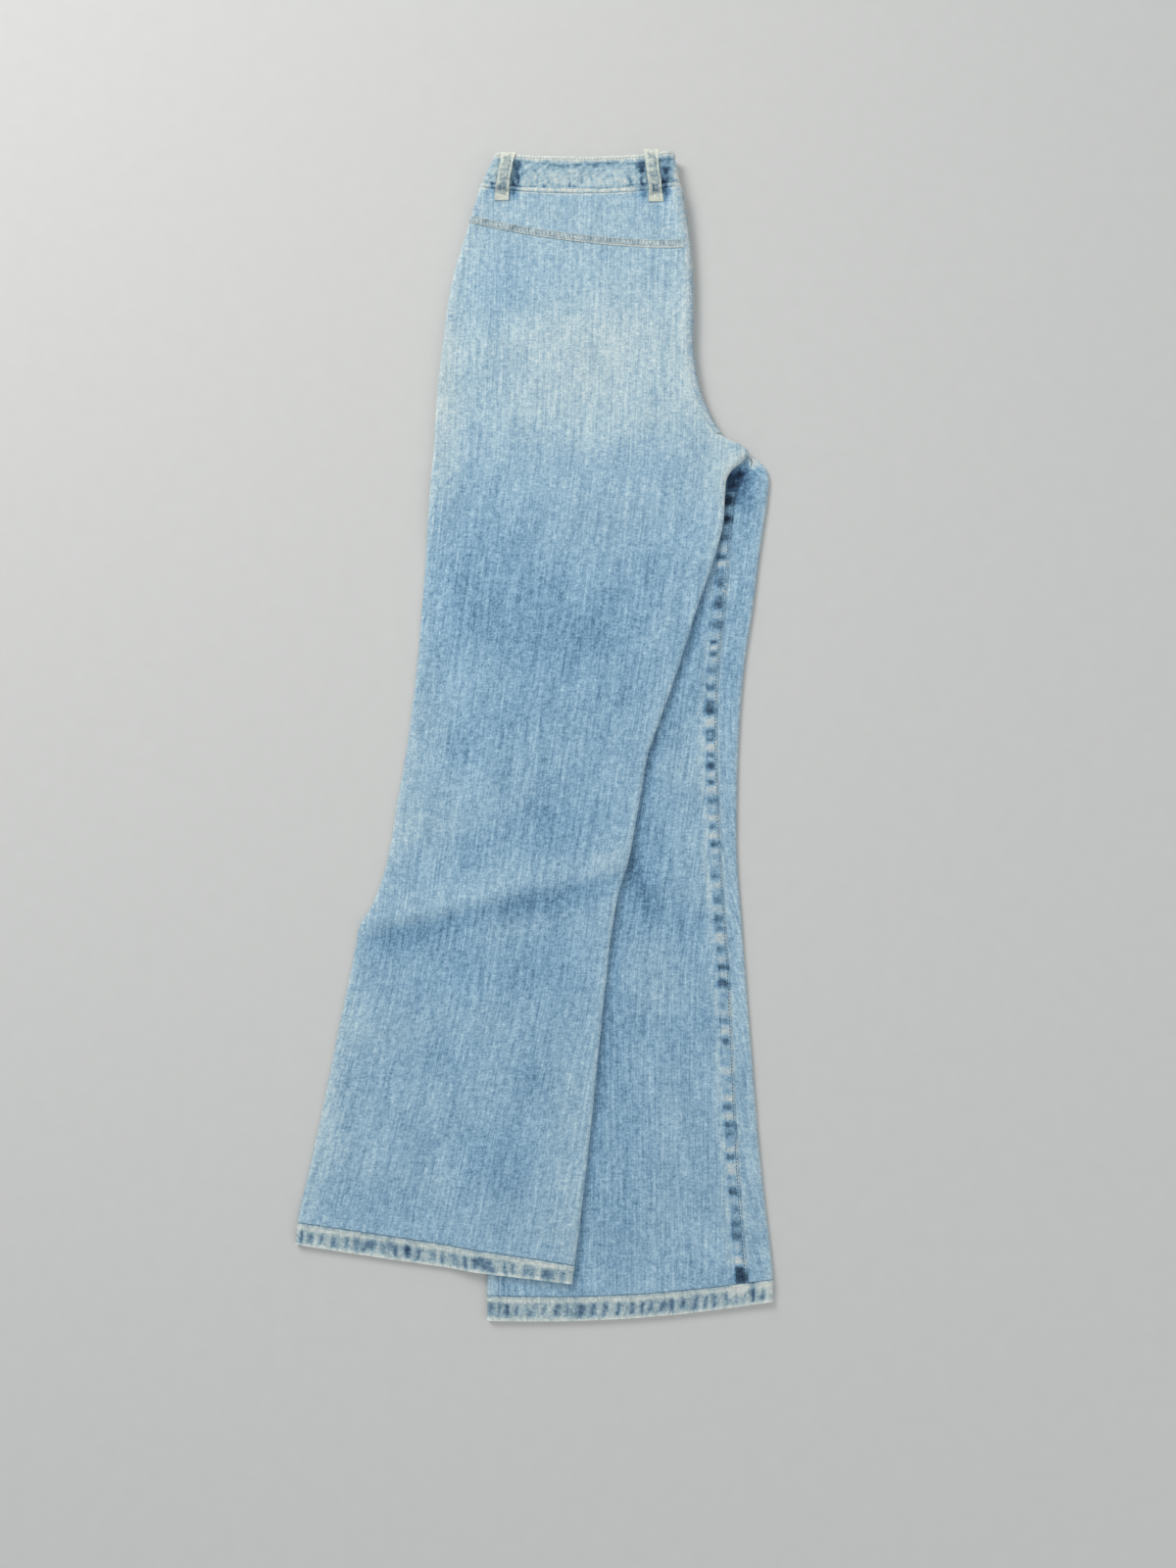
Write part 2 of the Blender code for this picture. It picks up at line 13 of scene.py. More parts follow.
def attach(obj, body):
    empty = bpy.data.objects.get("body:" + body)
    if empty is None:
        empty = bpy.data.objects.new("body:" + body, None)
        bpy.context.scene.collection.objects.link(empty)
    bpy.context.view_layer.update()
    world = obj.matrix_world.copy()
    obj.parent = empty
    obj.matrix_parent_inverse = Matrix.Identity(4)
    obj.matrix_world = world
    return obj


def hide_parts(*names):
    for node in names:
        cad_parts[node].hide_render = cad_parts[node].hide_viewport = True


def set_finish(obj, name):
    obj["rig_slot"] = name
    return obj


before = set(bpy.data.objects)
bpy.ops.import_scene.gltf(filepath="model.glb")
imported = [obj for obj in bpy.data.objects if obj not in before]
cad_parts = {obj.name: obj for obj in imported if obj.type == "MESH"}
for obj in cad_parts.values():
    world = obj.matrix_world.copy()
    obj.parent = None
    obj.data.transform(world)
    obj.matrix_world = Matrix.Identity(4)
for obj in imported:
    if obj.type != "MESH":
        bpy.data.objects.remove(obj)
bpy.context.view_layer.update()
bpy.ops.object.select_all(action="DESELECT")
mm = 0.001
print("frame loaded:", len(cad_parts), "nodes")

# Camera, above the middle of the garment and tipped a little towards the waist
cameraLook = {"place": (0.0467, -0.1582, 1.1963), "tip": 4.5, "lens": 30.0, "sensor": 36.0}


def addCamera(look):
    lens = bpy.data.cameras.new("overheadCamera")
    lens.lens = look["lens"]
    lens.sensor_width = look["sensor"]
    camera = bpy.data.objects.new("overheadCamera", lens)
    camera.location = look["place"]
    camera.rotation_euler.x = math.radians(look["tip"])
    bpy.context.scene.collection.objects.link(camera)
    bpy.context.scene.camera = camera


addCamera(cameraLook)

# How the garment lies: the rows are sections across it, from the side fold to the inner edge.
cloth = {
    "denim": 1.2,
    "doubled": 2.4,  # waistband and turned-up hems
    "fell": 1.0,  # felled seam, on top of its panel
    "gap": 0.3,  # at every seam
    "outseamIn": 10.0,  # outseam, in from the side fold on the hidden face
    "sideRoll": 2.6,  # half the depth of a side fold
    "centreRoll": 7.5,  # the same at the seat
    "legRoll": 3.4,  # the same at the inner edge of a leg
    "frontRoll": 3.0,  # the same where the fronts fold inside the back
    "fullNest": 2.9,  # how far in that inner fold lies
    "frontPart": 0.42,  # how much further apart the halves' fronts lie at the seat, in wall thicknesses
    "crotchPart": 0.6,  # how much further apart the backs lie at the crotch, in mm
    "fellWidth": 9.0,
    "sidePuff": 1.2,  # two layers lie further apart beside a fold
    "edgePuff": 2.0,
    "puffReach": 16.0,
    "liftReach": 25.0,
    "ridgeFlattening": 0.8,  # a ridge is lower where the layers are apart already
    "halfNest": 2.0,  # how far in the right half's side fold lies
    "drapeStart": 40.0,  # the left leg climbs onto the right one here, out from its side fold
    "drapeEnd": 8.0,
    "kneeTurn": 25.0,
}

# wrap: from the inner edge to the inseam; sag: bow of the section towards the hem; turn: how far the back
# runs round that edge; nest: how far in the front's fold lies; lift, ridge, floor, step: heights of layers
Row = namedtuple("Row", "sideX sideY edgeX edgeY wrap lift ridge sag turn nest floor step",
                 defaults=(0, 0, 1, 0, 0.6, 2.2))
waistTop, waistSeam, yokeSeam = 0, 1, 2
nest = cloth["fullNest"]
hipRows = [Row(*row) for row in (
    (-40.5, 531.5, 128.5, 532.5, 0, 2.4, 0, 3.4, 0, nest, 2.7, 3.2),
    (-55, 499, 134.5, 499, 0, 2.4, 0, 5, 0, nest, 2.7, 3.2),
    (-63.2, 472, 142, 448, 0, 1.6, 0, 5.5, 0, nest, 1.3, 2.6),
    (-82, 405, 145, 388, 0, 1.6, 0, 3, 0, nest),
    (-90, 345, 145.5, 336, 0, 1.6, 0, 1.5, 0, nest),
    (-94.5, 297, 155, 292, 0, 1.6, 0, 0.5, 0, nest),
    (-96, 268, 171, 262, 0, 1.6, 0, 0, 0, 1.6),
    (-97, 245, 195.5, 241.8, 0, 1.6, 0, 0, 0, 1.4),
)]
leftLegRows = [Row(*row) for row in (
    (-97.3, 241.5, 189, 235, 5, 1.6, 0, 0, 0.3, 1.2), (-97.8, 236, 181.5, 229, 13, 1.6, 0, 0, 0.6, 0.3),
    (-98.5, 228, 176.5, 221.5, 24, 1.6, 0, 0, 0.85), (-99.8, 210, 174, 205, 33, 1.6),
    (-101.5, 182, 172.5, 180, 35, 1.5), (-103.5, 150, 165, 149, 33, 1.2),
    (-107, 99, 148, 100, 31, 0.8), (-111, 44, 130, 43, 28, 0.5),
    (-117, -11, 112, -8, 25, 0.3), (-122, -47, 102, -36, 23, 0.3),
    (-128, -83, 95, -73, 22, 0.3), (-133.5, -120, 91, -96, 21, 0.3),
    (-141, -153, 87, -116, 20, 0.3, 0.5), (-152, -181, 84, -131, 20, 0.3, 1.7),
    (-160, -193, 80.5, -144, 19, 0.3, 2.7), (-163.5, -210, 75.5, -160, 19, 0.3, 0.8),
    (-168, -234, 69.5, -191, 19, 0.3), (-178, -284, 62, -252, 20, 0.3),
    (-191.5, -355, 53, -338, 22, 0.3), (-203, -412, 44, -420, 25, 0.3),
    (-212.3, -456, 35, -492, 27, 0.3, 0, 0, 1, 0, 1.2, 3.2),
    (-214.5, -475, 33, -508, 27, 0.3, 0, 2, 1, 0, 1.2, 3.2),
)]
rightLegRows = [Row(*row) for row in (
    (-95, 242, 205, 238.3, 5, 1.6, 0, 0, 0.3, 1), (-94.5, 238, 211.8, 232, 13, 1.6, 0, 0, 0.6, 0.3),
    (-93.5, 231, 215, 224.5, 19.5, 1.6, 0, 0, 0.85), (-90, 212, 214.5, 208, 29.5, 1.6),
    (-80, 182, 211, 182, 30.5, 0), (-68, 148, 206, 150, 28.5, 0),
    (-56, 99, 199.5, 100, 26.5, 0), (-48, 40, 190.5, 42, 23.5, 0),
    (-42, -12, 185.5, -15, 20.5, 0), (-38.5, -75, 183, -75, 17, 0),
    (-37, -130, 182.5, -130, 14.5, 0), (-40, -188, 186, -188, 14.5, 0),
    (-42.5, -250, 190, -250, 15, 0), (-43, -320, 195, -320, 17.5, 0),
    (-43, -385, 199.5, -385, 19.5, 0), (-43, -440, 204.5, -438, 21.5, 0, 0, 1.5),
    (-43, -487, 209, -477, 23, 0, 0, 4.5), (-43, -519, 211, -505, 23, 0, 0, 6.5, 1, 0, 1.2, 3.2),
    (-43, -541, 211, -524.5, 22.5, 0, 0, 6.5, 1, 0, 1.2, 3.2),
)]
leftTable = hipRows + leftLegRows
rightTable = [row._replace(sideX=row.sideX + cloth["halfNest"]) for row in hipRows] + rightLegRows


def lerp(start, end, share):
    return start + (end - start) * share


def ease(share):
    share = np.clip(share, 0.0, 1.0)
    return share * share * (3.0 - 2.0 * share)


def rowWidth(row):
    return math.hypot(row.edgeX - row.sideX, row.edgeY - row.sideY)


def rowY(row, share):
    return lerp(row.sideY, row.edgeY, share) - row.sag * 4.0 * share * (1.0 - share)


def onRow(row, across):  # a point this far from the side fold, in plan
    share = across / rowWidth(row)
    return lerp(row.sideX, row.edgeX, share), rowY(row, share)


def rowsBetween(table, first, last, spacing):  # a smooth curve through the table's rows
    values = np.array(table, dtype=float)
    moves = np.diff(values[:, :4], axis=0)
    lengths = np.hypot(moves[:, 0], moves[:, 1]) / 2.0 + np.hypot(moves[:, 2], moves[:, 3]) / 2.0
    slopes = np.diff(values, axis=0) / lengths[:, None]
    tangents = np.empty_like(values)
    tangents[0] = slopes[0]
    tangents[-1] = slopes[-1]
    before, after = lengths[:-1, None], lengths[1:, None]
    tangents[1:-1] = (slopes[:-1] * after + slopes[1:] * before) / (before + after)
    rows = [table[first]]
    for index in range(first, last):
        length = lengths[index]
        count = max(1, round(length / spacing))
        for u in np.arange(1, count + 1) / count:
            keep = (2.0 * u ** 3 - 3.0 * u ** 2 + 1.0) * values[index]
            reach = (3.0 * u ** 2 - 2.0 * u ** 3) * values[index + 1]
            leave = (u ** 3 - 2.0 * u ** 2 + u) * length * tangents[index]
            arrive = (u ** 3 - u ** 2) * length * tangents[index + 1]
            rows.append(Row(*(keep + reach + leave + arrive)))
    return rows


def lowered(row, distance):
    return row._replace(sideY=row.sideY - distance, edgeY=row.edgeY - distance)


def puff(row, across):  # two layers of one half lie further apart near their folds
    beside = math.exp(-max(across, 0.0) / cloth["puffReach"])
    inside = math.exp(-max(rowWidth(row) - across, 0.0) / cloth["puffReach"])
    return cloth["sidePuff"] * beside + cloth["edgePuff"] * inside


# The right half lies on the floor, and the left half lies on it
def rightBack(row, across):
    return row.floor


def rightFront(row, across):
    return row.floor + row.step + puff(row, across)


def rightMiddle(row):
    return rightFront(row, rowWidth(row)) + (row.step + row.lift) / 2.0


lowerRows = np.array(rowsBetween(rightTable, 0, len(rightTable) - 1, 10.0)[::-1])
field = {name: lowerRows[:, number] for number, name in enumerate(Row._fields)}


def rightRowUnder(x, y):
    sideX = np.interp(y, field["sideY"], field["sideX"])
    edgeX = np.interp(y, field["edgeY"], field["edgeX"])
    share = min(max((x - sideX) / (edgeX - sideX), 0.0), 1.0)
    ys = lerp(field["sideY"], field["edgeY"], share) - field["sag"] * 4.0 * share * (1.0 - share)
    floor = np.interp(y, ys, field["floor"])
    step = np.interp(y, ys, field["step"])
    row = rightTable[0]._replace(sideX=sideX, sideY=y, edgeX=edgeX, edgeY=y, floor=floor, step=step)
    return row, x - sideX


def leftFront(row, across):
    under, underAcross = rightRowUnder(*onRow(row, across))
    cover = ease((underAcross + cloth["drapeStart"]) / (cloth["drapeStart"] - cloth["drapeEnd"]))
    lift = row.lift * math.exp(-max(rowWidth(row) - across, 0.0) / cloth["liftReach"])
    return lerp(row.floor, rightFront(under, underAcross) + under.step + lift, cover)


def leftBack(row, across):
    apart = puff(row, across)
    ridge = row.ridge * (1.0 - cloth["ridgeFlattening"] * min(apart / cloth["edgePuff"], 1.0))
    return leftFront(row, across) + row.step + apart + ridge


def leftMiddle(row):
    under, underAcross = rightRowUnder(row.edgeX, row.edgeY)
    return rightFront(under, underAcross) + (under.step + row.lift) / 2.0


Half = namedtuple("Half", "side table back front middle sign")
leftHalf = Half("Left", leftTable, leftBack, leftFront, leftMiddle, 1.0)
rightHalf = Half("Right", rightTable, rightBack, rightFront, rightMiddle, -1.0)

# How finely a section is divided, from the outseam to the inner seam
Steps = namedtuple("Steps", "side across turn tail front frontTail")
fineSteps = Steps(10, 84, 12, 6, 84, 10)
legSteps = Steps(8, 44, 10, 16, 72, 10)
plainSteps = Steps(6, 30, 8, 6, 30, 6)
bandSteps = Steps(10, 150, 12, 5, 60, 8)
hemSteps = Steps(12, 210, 14, 26, 220, 10)
seamSteps = Steps(12, 250, 12, 6, None, None)


def lengthsAlong(points, axis):  # length of cloth from the first point
    moves = np.linalg.norm(np.diff(points, axis=axis), axis=-1)
    return np.insert(np.cumsum(moves, axis=axis), 0, 0.0, axis=axis)


def acrossOf(grid):  # from the first column
    return lengthsAlong(grid, 1)


def alongOf(grid):  # from the first row
    return lengthsAlong(grid, 0)


def resampled(points, steps):
    path = np.array(points)
    lengths = lengthsAlong(path, 0)
    marks = np.linspace(0.0, lengths[-1], steps + 1)
    return list(zip(np.interp(marks, lengths, path[:, 0]), np.interp(marks, lengths, path[:, 1])))


def turnEnd(row):  # where the back panel's inner fold ends, in radians
    return math.radians(-90.0 * row.turn ** 2)


def backSection(half, row, thickness, steps):  # outseam, side fold, across, inner edge
    side = thickness / 2.0 + cloth["sideRoll"]
    back = half.back(row, side)
    axis = (back + half.front(row, side)) / 2.0
    points = [(cloth["outseamIn"], half.front(row, cloth["outseamIn"]))]
    for number in range(steps.side + 1):
        angle = math.radians(-90.0 - 180.0 * number / steps.side)
        reach = side + cloth["sideRoll"] * math.cos(angle)
        points.append((reach, axis + (back - axis) * math.sin(angle)))

    roll = lerp(cloth["centreRoll"], cloth["legRoll"], row.turn)
    hinge = rowWidth(row) - thickness / 2.0 - roll
    for number in range(1, steps.across):
        across = lerp(side, hinge, number / steps.across)
        points.append((across, half.back(row, across)))

    back = half.back(row, hinge)
    parting = cloth["gap"] / 2.0 + cloth["crotchPart"] * (1.0 - row.nest / cloth["fullNest"])
    shared = half.middle(row) + half.sign * parting
    seam = lerp(shared, half.front(row, hinge), 1.0 - (1.0 - row.turn) ** 2)
    end = turnEnd(row)
    axis = (seam - back * math.sin(end)) / (1.0 - math.sin(end))

    def onFold(angle):
        return hinge + roll * math.cos(angle), axis + (back - axis) * math.sin(angle)

    knee = end + math.radians(cloth["kneeTurn"]) * (1.0 - row.turn)
    for share in np.linspace(0.0, 1.0, steps.turn + 1):
        points.append(onFold(lerp(math.pi / 2.0, knee, share)))
    shares = np.linspace(0.0, 1.0, 2 * steps.tail + 1)
    tail = [onFold(lerp(knee, end, share)) for share in shares]
    tailAcross, tailHeight = tail[-1]
    inseam = min(rowWidth(row) - row.wrap, tailAcross)
    for share in shares[1:]:
        across = lerp(tailAcross, inseam, share)
        tail.append((across, tailHeight + half.front(row, across) - half.front(row, tailAcross)))
    return points + resampled(tail, steps.tail)[1:]


def frontSection(half, row, thickness, steps):  # outseam, across, inner seam
    lastAcross, lastHeight = backSection(half, row, thickness, plainSteps)[-1]
    lastHeight += half.sign * cloth["frontPart"] * thickness * (1.0 - row.turn)
    end = lastAcross - cloth["gap"] - thickness * math.cos(turnEnd(row)) - row.nest
    roll = lerp(cloth["frontRoll"], cloth["fellWidth"], row.turn)
    hinge = end - roll
    points = []
    for share in np.linspace(0.0, 1.0, steps.front + 1):
        across = lerp(cloth["outseamIn"] + cloth["gap"], hinge, share)
        points.append((across, half.front(row, across)))
    hingeHeight = points[-1][1]
    for share in np.linspace(0.0, 1.0, steps.frontTail + 1)[1:]:
        angle = math.pi / 2.0 * share
        height = lastHeight + (hingeHeight - lastHeight) * math.cos(angle)
        points.append((hinge + roll * math.sin(angle), height))
    return points


def sectionRows(makeSection, half, rows, steps):  # grid of points, in millimetres
    grid = []
    for row in rows:
        section = makeSection(half, row, cloth["denim"], steps)
        grid.append([(*onRow(row, across), height) for across, height in section])
    return np.array(grid)


def facing(grid, sign):  # unit normals off the panel's outer face
    normal = np.cross(np.gradient(grid, axis=0), np.gradient(grid, axis=1)) * sign
    return normal / np.maximum(np.linalg.norm(normal, axis=2, keepdims=True), 1e-9)


grainLine = ((540, 46), (400, 42), (240, 36), (60, 12), (-100, -12), (-250, -34), (-380, -62), (-540, -92))


def threadsOf(grid, first, last):  # u and v of the cloth: threads keep the direction of the grain line
    across = acrossOf(grid)
    ys, xs = zip(*grainLine[::-1])
    starts = []
    for row, reach in zip(grid, across):
        face = slice(first, last)
        crossing = row[face, 0] - np.interp(row[face, 1], ys, xs)
        starts.append(np.interp(0.0, crossing, reach[face]))
    return (across - np.array(starts)[:, None]), -grid[..., 1]


def softNoise(x, y, size, seed):  # slow unevenness, from -1 to 1
    flat = [noise.noise(Vector((a / size, b / size, seed))) for a, b in zip(x.ravel(), y.ravel())]
    return np.array(flat).reshape(x.shape)


# Layers of slow unevenness, and lines that run along a band: how far from its edge they lie, half their
# width, what they add, and how much of the edge's own waviness they follow
Wave = namedtuple("Wave", "amount size seed")
Line = namedtuple("Line", "at half rise tone wavy", defaults=(0.0,))


def waves(layers, x, y):
    return sum(layer.amount * softNoise(x, y, layer.size, layer.seed) for layer in layers)


def lineRelief(lines, d, wave=0.0):
    rise, tone = np.zeros_like(d), np.zeros_like(d)
    for line in lines:
        body = np.exp(-((d - line.at - line.wavy * wave) / line.half) ** 2)
        rise += line.rise * body
        tone += line.tone * body
    return rise, tone


# Soft creases, listed one by one. rise: height of the crest; above, below: how far each flank runs out
# toward the waist and toward the hem; pale: painted highlight on its crest; dark: painted shade in the hollow
# below it
Crease = namedtuple("Crease", "x1 y1 x2 y2 bow rise above below pale dark")
leftCreases = [Crease(*crease) for crease in (
    (-182, -204, 122, -130, 6, 2, 26, 8, 0.08, -0.13),
    (-150, -236, 66, -176, 3, -1, 16, 20, 0, -0.05),
    (-140, -120, 40, -60, 8, 0.9, 26, 20, 0.03, -0.03),
    (-120, -20, -10, 70, -8, 0.7, 22, 16, 0.02, -0.03),
    (170, 190, 96, 30, 6, 0.9, 12, 16, 0.04, -0.04),
    (182, 225, 60, 190, -8, 0.8, 16, 14, 0.03, -0.02),
    (150, 300, 10, 250, -6, 0.9, 20, 16, 0.03, -0.02),
    (-80, 330, 30, 380, -5, 0.6, 18, 16, 0.02, -0.02),
    (-188, -300, -20, -262, 4, 0.7, 20, 16, 0.03, -0.03),
    (-196, -390, -60, -420, -5, 0.8, 18, 18, 0.02, -0.03),
    (40, -300, 0, -460, 3, 0.8, 14, 18, 0.03, -0.03),
    (-60, -330, -90, -450, 4, 0.6, 16, 16, 0.02, -0.02),
)]
rightCreases = [Crease(*crease) for crease in (
    (100, -40, 172, -70, 3, 0.8, 16, 14, 0.03, -0.03),
    (84, -150, 168, -176, 4, 0.9, 18, 14, 0.03, -0.05),
    (72, -260, 176, -236, -4, 0.7, 16, 14, 0.03, -0.03),
    (64, -380, 120, -470, 3, 0.7, 14, 14, 0.03, -0.03),
    (110, -300, 120, -420, 3, 0.5, 12, 14, 0.02, -0.02),
    (182, 190, 150, 60, 3, 0.8, 10, 12, 0.03, -0.03),
)]
undersideCreases = [Crease(*crease) for crease in (
    (-60, 330, 90, 290, 5, 1.2, 20, 18, 0.04, -0.04),
    (-70, 180, 120, 210, -6, 1, 18, 20, 0.03, -0.04),
    (-30, -150, 170, -190, 6, 1.6, 24, 12, 0.06, -0.08),
    (-30, -330, 120, -300, 4, 0.9, 18, 18, 0.03, -0.03),
)]
# A crease's painted shade lies hollowAt widths of the lower flank below its crest, hollowHalf of them wide
creaseLook = {"wander": 4.0, "noiseRun": 0.25, "taper": 0.22, "strength": 0.8, "swing": 0.5,
              "hollowAt": 2.2, "hollowHalf": 1.6}  # the last two in widths of the lower flank


def creaseRelief(creases, x, y):
    look = creaseLook
    rise, tone = np.zeros_like(x), np.zeros_like(x)
    for number, crease in enumerate(creases):
        run = np.array((crease.x2 - crease.x1, crease.y2 - crease.y1), dtype=float)
        length = np.linalg.norm(run)
        run /= length
        over = np.array((-run[1], run[0])) * (1.0 if run[0] > 0 else -1.0)
        share = ((x - crease.x1) * run[0] + (y - crease.y1) * run[1]) / length
        bow = crease.bow * 4.0 * share * (1.0 - share)
        uneven = softNoise(share, np.zeros_like(x), look["noiseRun"], 3.0 + number)
        off = (x - crease.x1) * over[0] + (y - crease.y1) * over[1] - bow - uneven * look["wander"]
        taper = ease(share / look["taper"]) * ease((1.0 - share) / look["taper"])
        taper *= look["strength"] + look["swing"] * uneven
        width = np.where(off > 0.0, crease.above, crease.below)
        crest = np.exp(-(off / width) ** 2) * taper
        hollow = np.exp(-((off / crease.below + look["hollowAt"]) / look["hollowHalf"]) ** 2) * taper
        rise += crease.rise * crest
        # painted highlight on each crest and painted shade in the hollow below it
        tone += crease.pale * crest + crease.dark * hollow
    return rise, tone


# Worn and unworn areas, and on the right leg painted shade. tone: how much paler than the leg's own wash
Fade = namedtuple("Fade", "x y halfWidth halfHeight tone")
leftFades = [Fade(*fade) for fade in (
    (70, 345, 95, 60, 0.09), (40, 300, 130, 70, 0.06), (-35, 405, 55, 32, -0.05),
    (30, 425, 60, 16, -0.02), (-85, 270, 16, 110, 0.08), (150, 250, 30, 50, 0.06),
    (170, 190, 12, 60, 0.06), (188, 239, 12, 7, 0.10), (177, 216, 6, 22, 0.12),
    (60, 185, 60, 40, 0.05), (-60, 130, 70, 60, -0.04), (20, 70, 70, 40, -0.05),
    (-110, -40, 40, 90, 0.05), (-90, -110, 60, 45, 0.04), (30, -100, 50, 30, -0.04),
    (70, -150, 18, 40, 0.05), (-185, -350, 26, 110, 0.05), (-10, -330, 30, 120, -0.03),
    (30, -420, 16, 90, 0.04), (-130, -295, 34, 34, 0.03), (-40, -278, 46, 30, 0.04),
    (-48, -398, 70, 30, -0.05), (93, 321, 26, 32, -0.04), (11, -470, 20, 20, 0.03),
    (-10, 290, 40, 20, 0.02), (-26, -190, 40, 12, 0.05), (-118, -214, 40, 14, -0.03),
)]
# Right leg: near (95, -155) and (118, -130), painted shadow beside the left leg's edge; at (187, 223), (180,
# 211), (175, 184) and (191, 206), unworn indigo in the crotch darkened further with painted shade
rightWearAndShade = [Fade(*fade) for fade in (
    (140, -80, 28, 95, 0.07), (118, -130, 16, 40, -0.06), (95, -155, 12, 26, -0.14),
    (105, -230, 24, 40, 0.05), (187, 223, 13, 6.5, -0.44), (180, 211, 9, 13, -0.38),
    (193, 237, 7, 5, 0.26), (175, 184, 6, 26, -0.30), (191, 206, 12, 18, -0.17),
    (202, 237, 13, 5, 0.17), (204, 228, 8, 3, -0.14), (150, 120, 14, 50, -0.06),
    (110, 20, 16, 60, -0.04), (70, -300, 26, 120, -0.03), (183, -502, 8, 6, -0.34),
    (84, -415, 26, 36, -0.04), (196, 154, 10, 30, -0.03), (179, 30, 12, 50, -0.03),
)]


def fadeTone(fades, x, y):
    tone = np.zeros_like(x)
    for fade in fades:
        away = ((x - fade.x) / fade.halfWidth) ** 2 + ((y - fade.y) / fade.halfHeight) ** 2
        tone += fade.tone * np.exp(-away)
    return tone


# Puckers beside a seam: dark hollows with pale cloth around them, as the wash leaves them. They are set out
# from start to end, pitch apart, and reach half each way off a middle line.
Spot = namedtuple("Spot", "at length size slant bend shift reach")
usualSizes = (0.45, 0.7, 0.85, 1.0, 1.1)
spotDice = {"slant": (-0.4, 1.8), "bend": (-1.2, 1.2), "length": (0.7, 1.4), "shift": (-1.0, 1.0),
            "reach": (0.75, 1.15)}
paleReach = {"along": 2.4, "off": 1.5}
inseamPuckers = {"start": -506, "end": 240, "pitch": 13.0, "jitter": 0.42, "length": 4.9, "slant": 0.0,
                 "bend": 0.05, "middle": 6.2, "half": 5.4, "shift": 0.6, "depth": 0.55, "dark": 0.58,
                 "pale": 0.20, "seed": 11, "sizes": (0.7, 0.8, 0.9, 1.0, 1.1)}
yokePuckers = {"start": -72, "end": 152, "pitch": 2.9, "jitter": 0.35, "length": 0.8, "slant": 0.1,
               "bend": 0.0, "middle": 2.6, "half": 2.3, "shift": 0.5, "depth": 0.16, "dark": 0.36,
               "pale": 0.04, "seed": 5, "sizes": usualSizes}
waistPuckers = {"start": -58, "end": 140, "pitch": 5.8, "jitter": 0.5, "length": 1.5, "slant": 0.25,
                "bend": 0.0, "middle": -9.5, "half": 5.2, "shift": 2.6, "depth": 0.6, "dark": 0.34,
                "pale": 0.18, "seed": 23, "sizes": usualSizes}
hemPuckers = {"start": -3, "end": 560, "pitch": 9.2, "jitter": 0.4, "length": 2.7, "slant": 0.22,
              "bend": 0.03, "middle": 12.0, "half": 6.6, "shift": 0.5, "depth": 0.7, "dark": 0.46,
              "pale": 0.08, "seed": 31, "sizes": (0.5, 0.65, 0.8, 0.9, 1.0)}


def seamSpots(look):
    rng = random.Random(look["seed"])
    spots, at = [], look["start"]
    while at < look["end"]:
        size = rng.choice(look["sizes"])
        slant, bend, length, shift, reach = (rng.uniform(*spotDice[part]) for part in spotDice)
        spots.append(Spot(at, look["length"] * length, size, look["slant"] * slant, look["bend"] * bend,
                          look["shift"] * shift, reach))
        at += look["pitch"] * (1.0 + look["jitter"] * rng.uniform(-1.0, 1.0))
    return spots


def puckerRelief(look, s, d):  # s along the seam, d off it, in millimetres
    rise, tone = np.zeros_like(s), np.zeros_like(s)
    for spot in seamSpots(look):
        off = d - look["middle"] - spot.shift
        run = s - spot.at - spot.slant * off - spot.bend * off * off
        body = spot.size * np.exp(-(run / spot.length) ** 2 - (off / (look["half"] * spot.reach)) ** 4)
        along, off = run / (paleReach["along"] * spot.length), off / (paleReach["off"] * look["half"])
        rise -= look["depth"] * body
        tone += look["pale"] * np.exp(-along ** 2 - off ** 2) - look["dark"] * body
    return rise, tone


# Cloth pieces: a grid of points becomes an open sheet, and Solidify gives the wall
dressed = {}
smoothAngle = 50  # wall edges stay sharp
samePlace = 0.00001


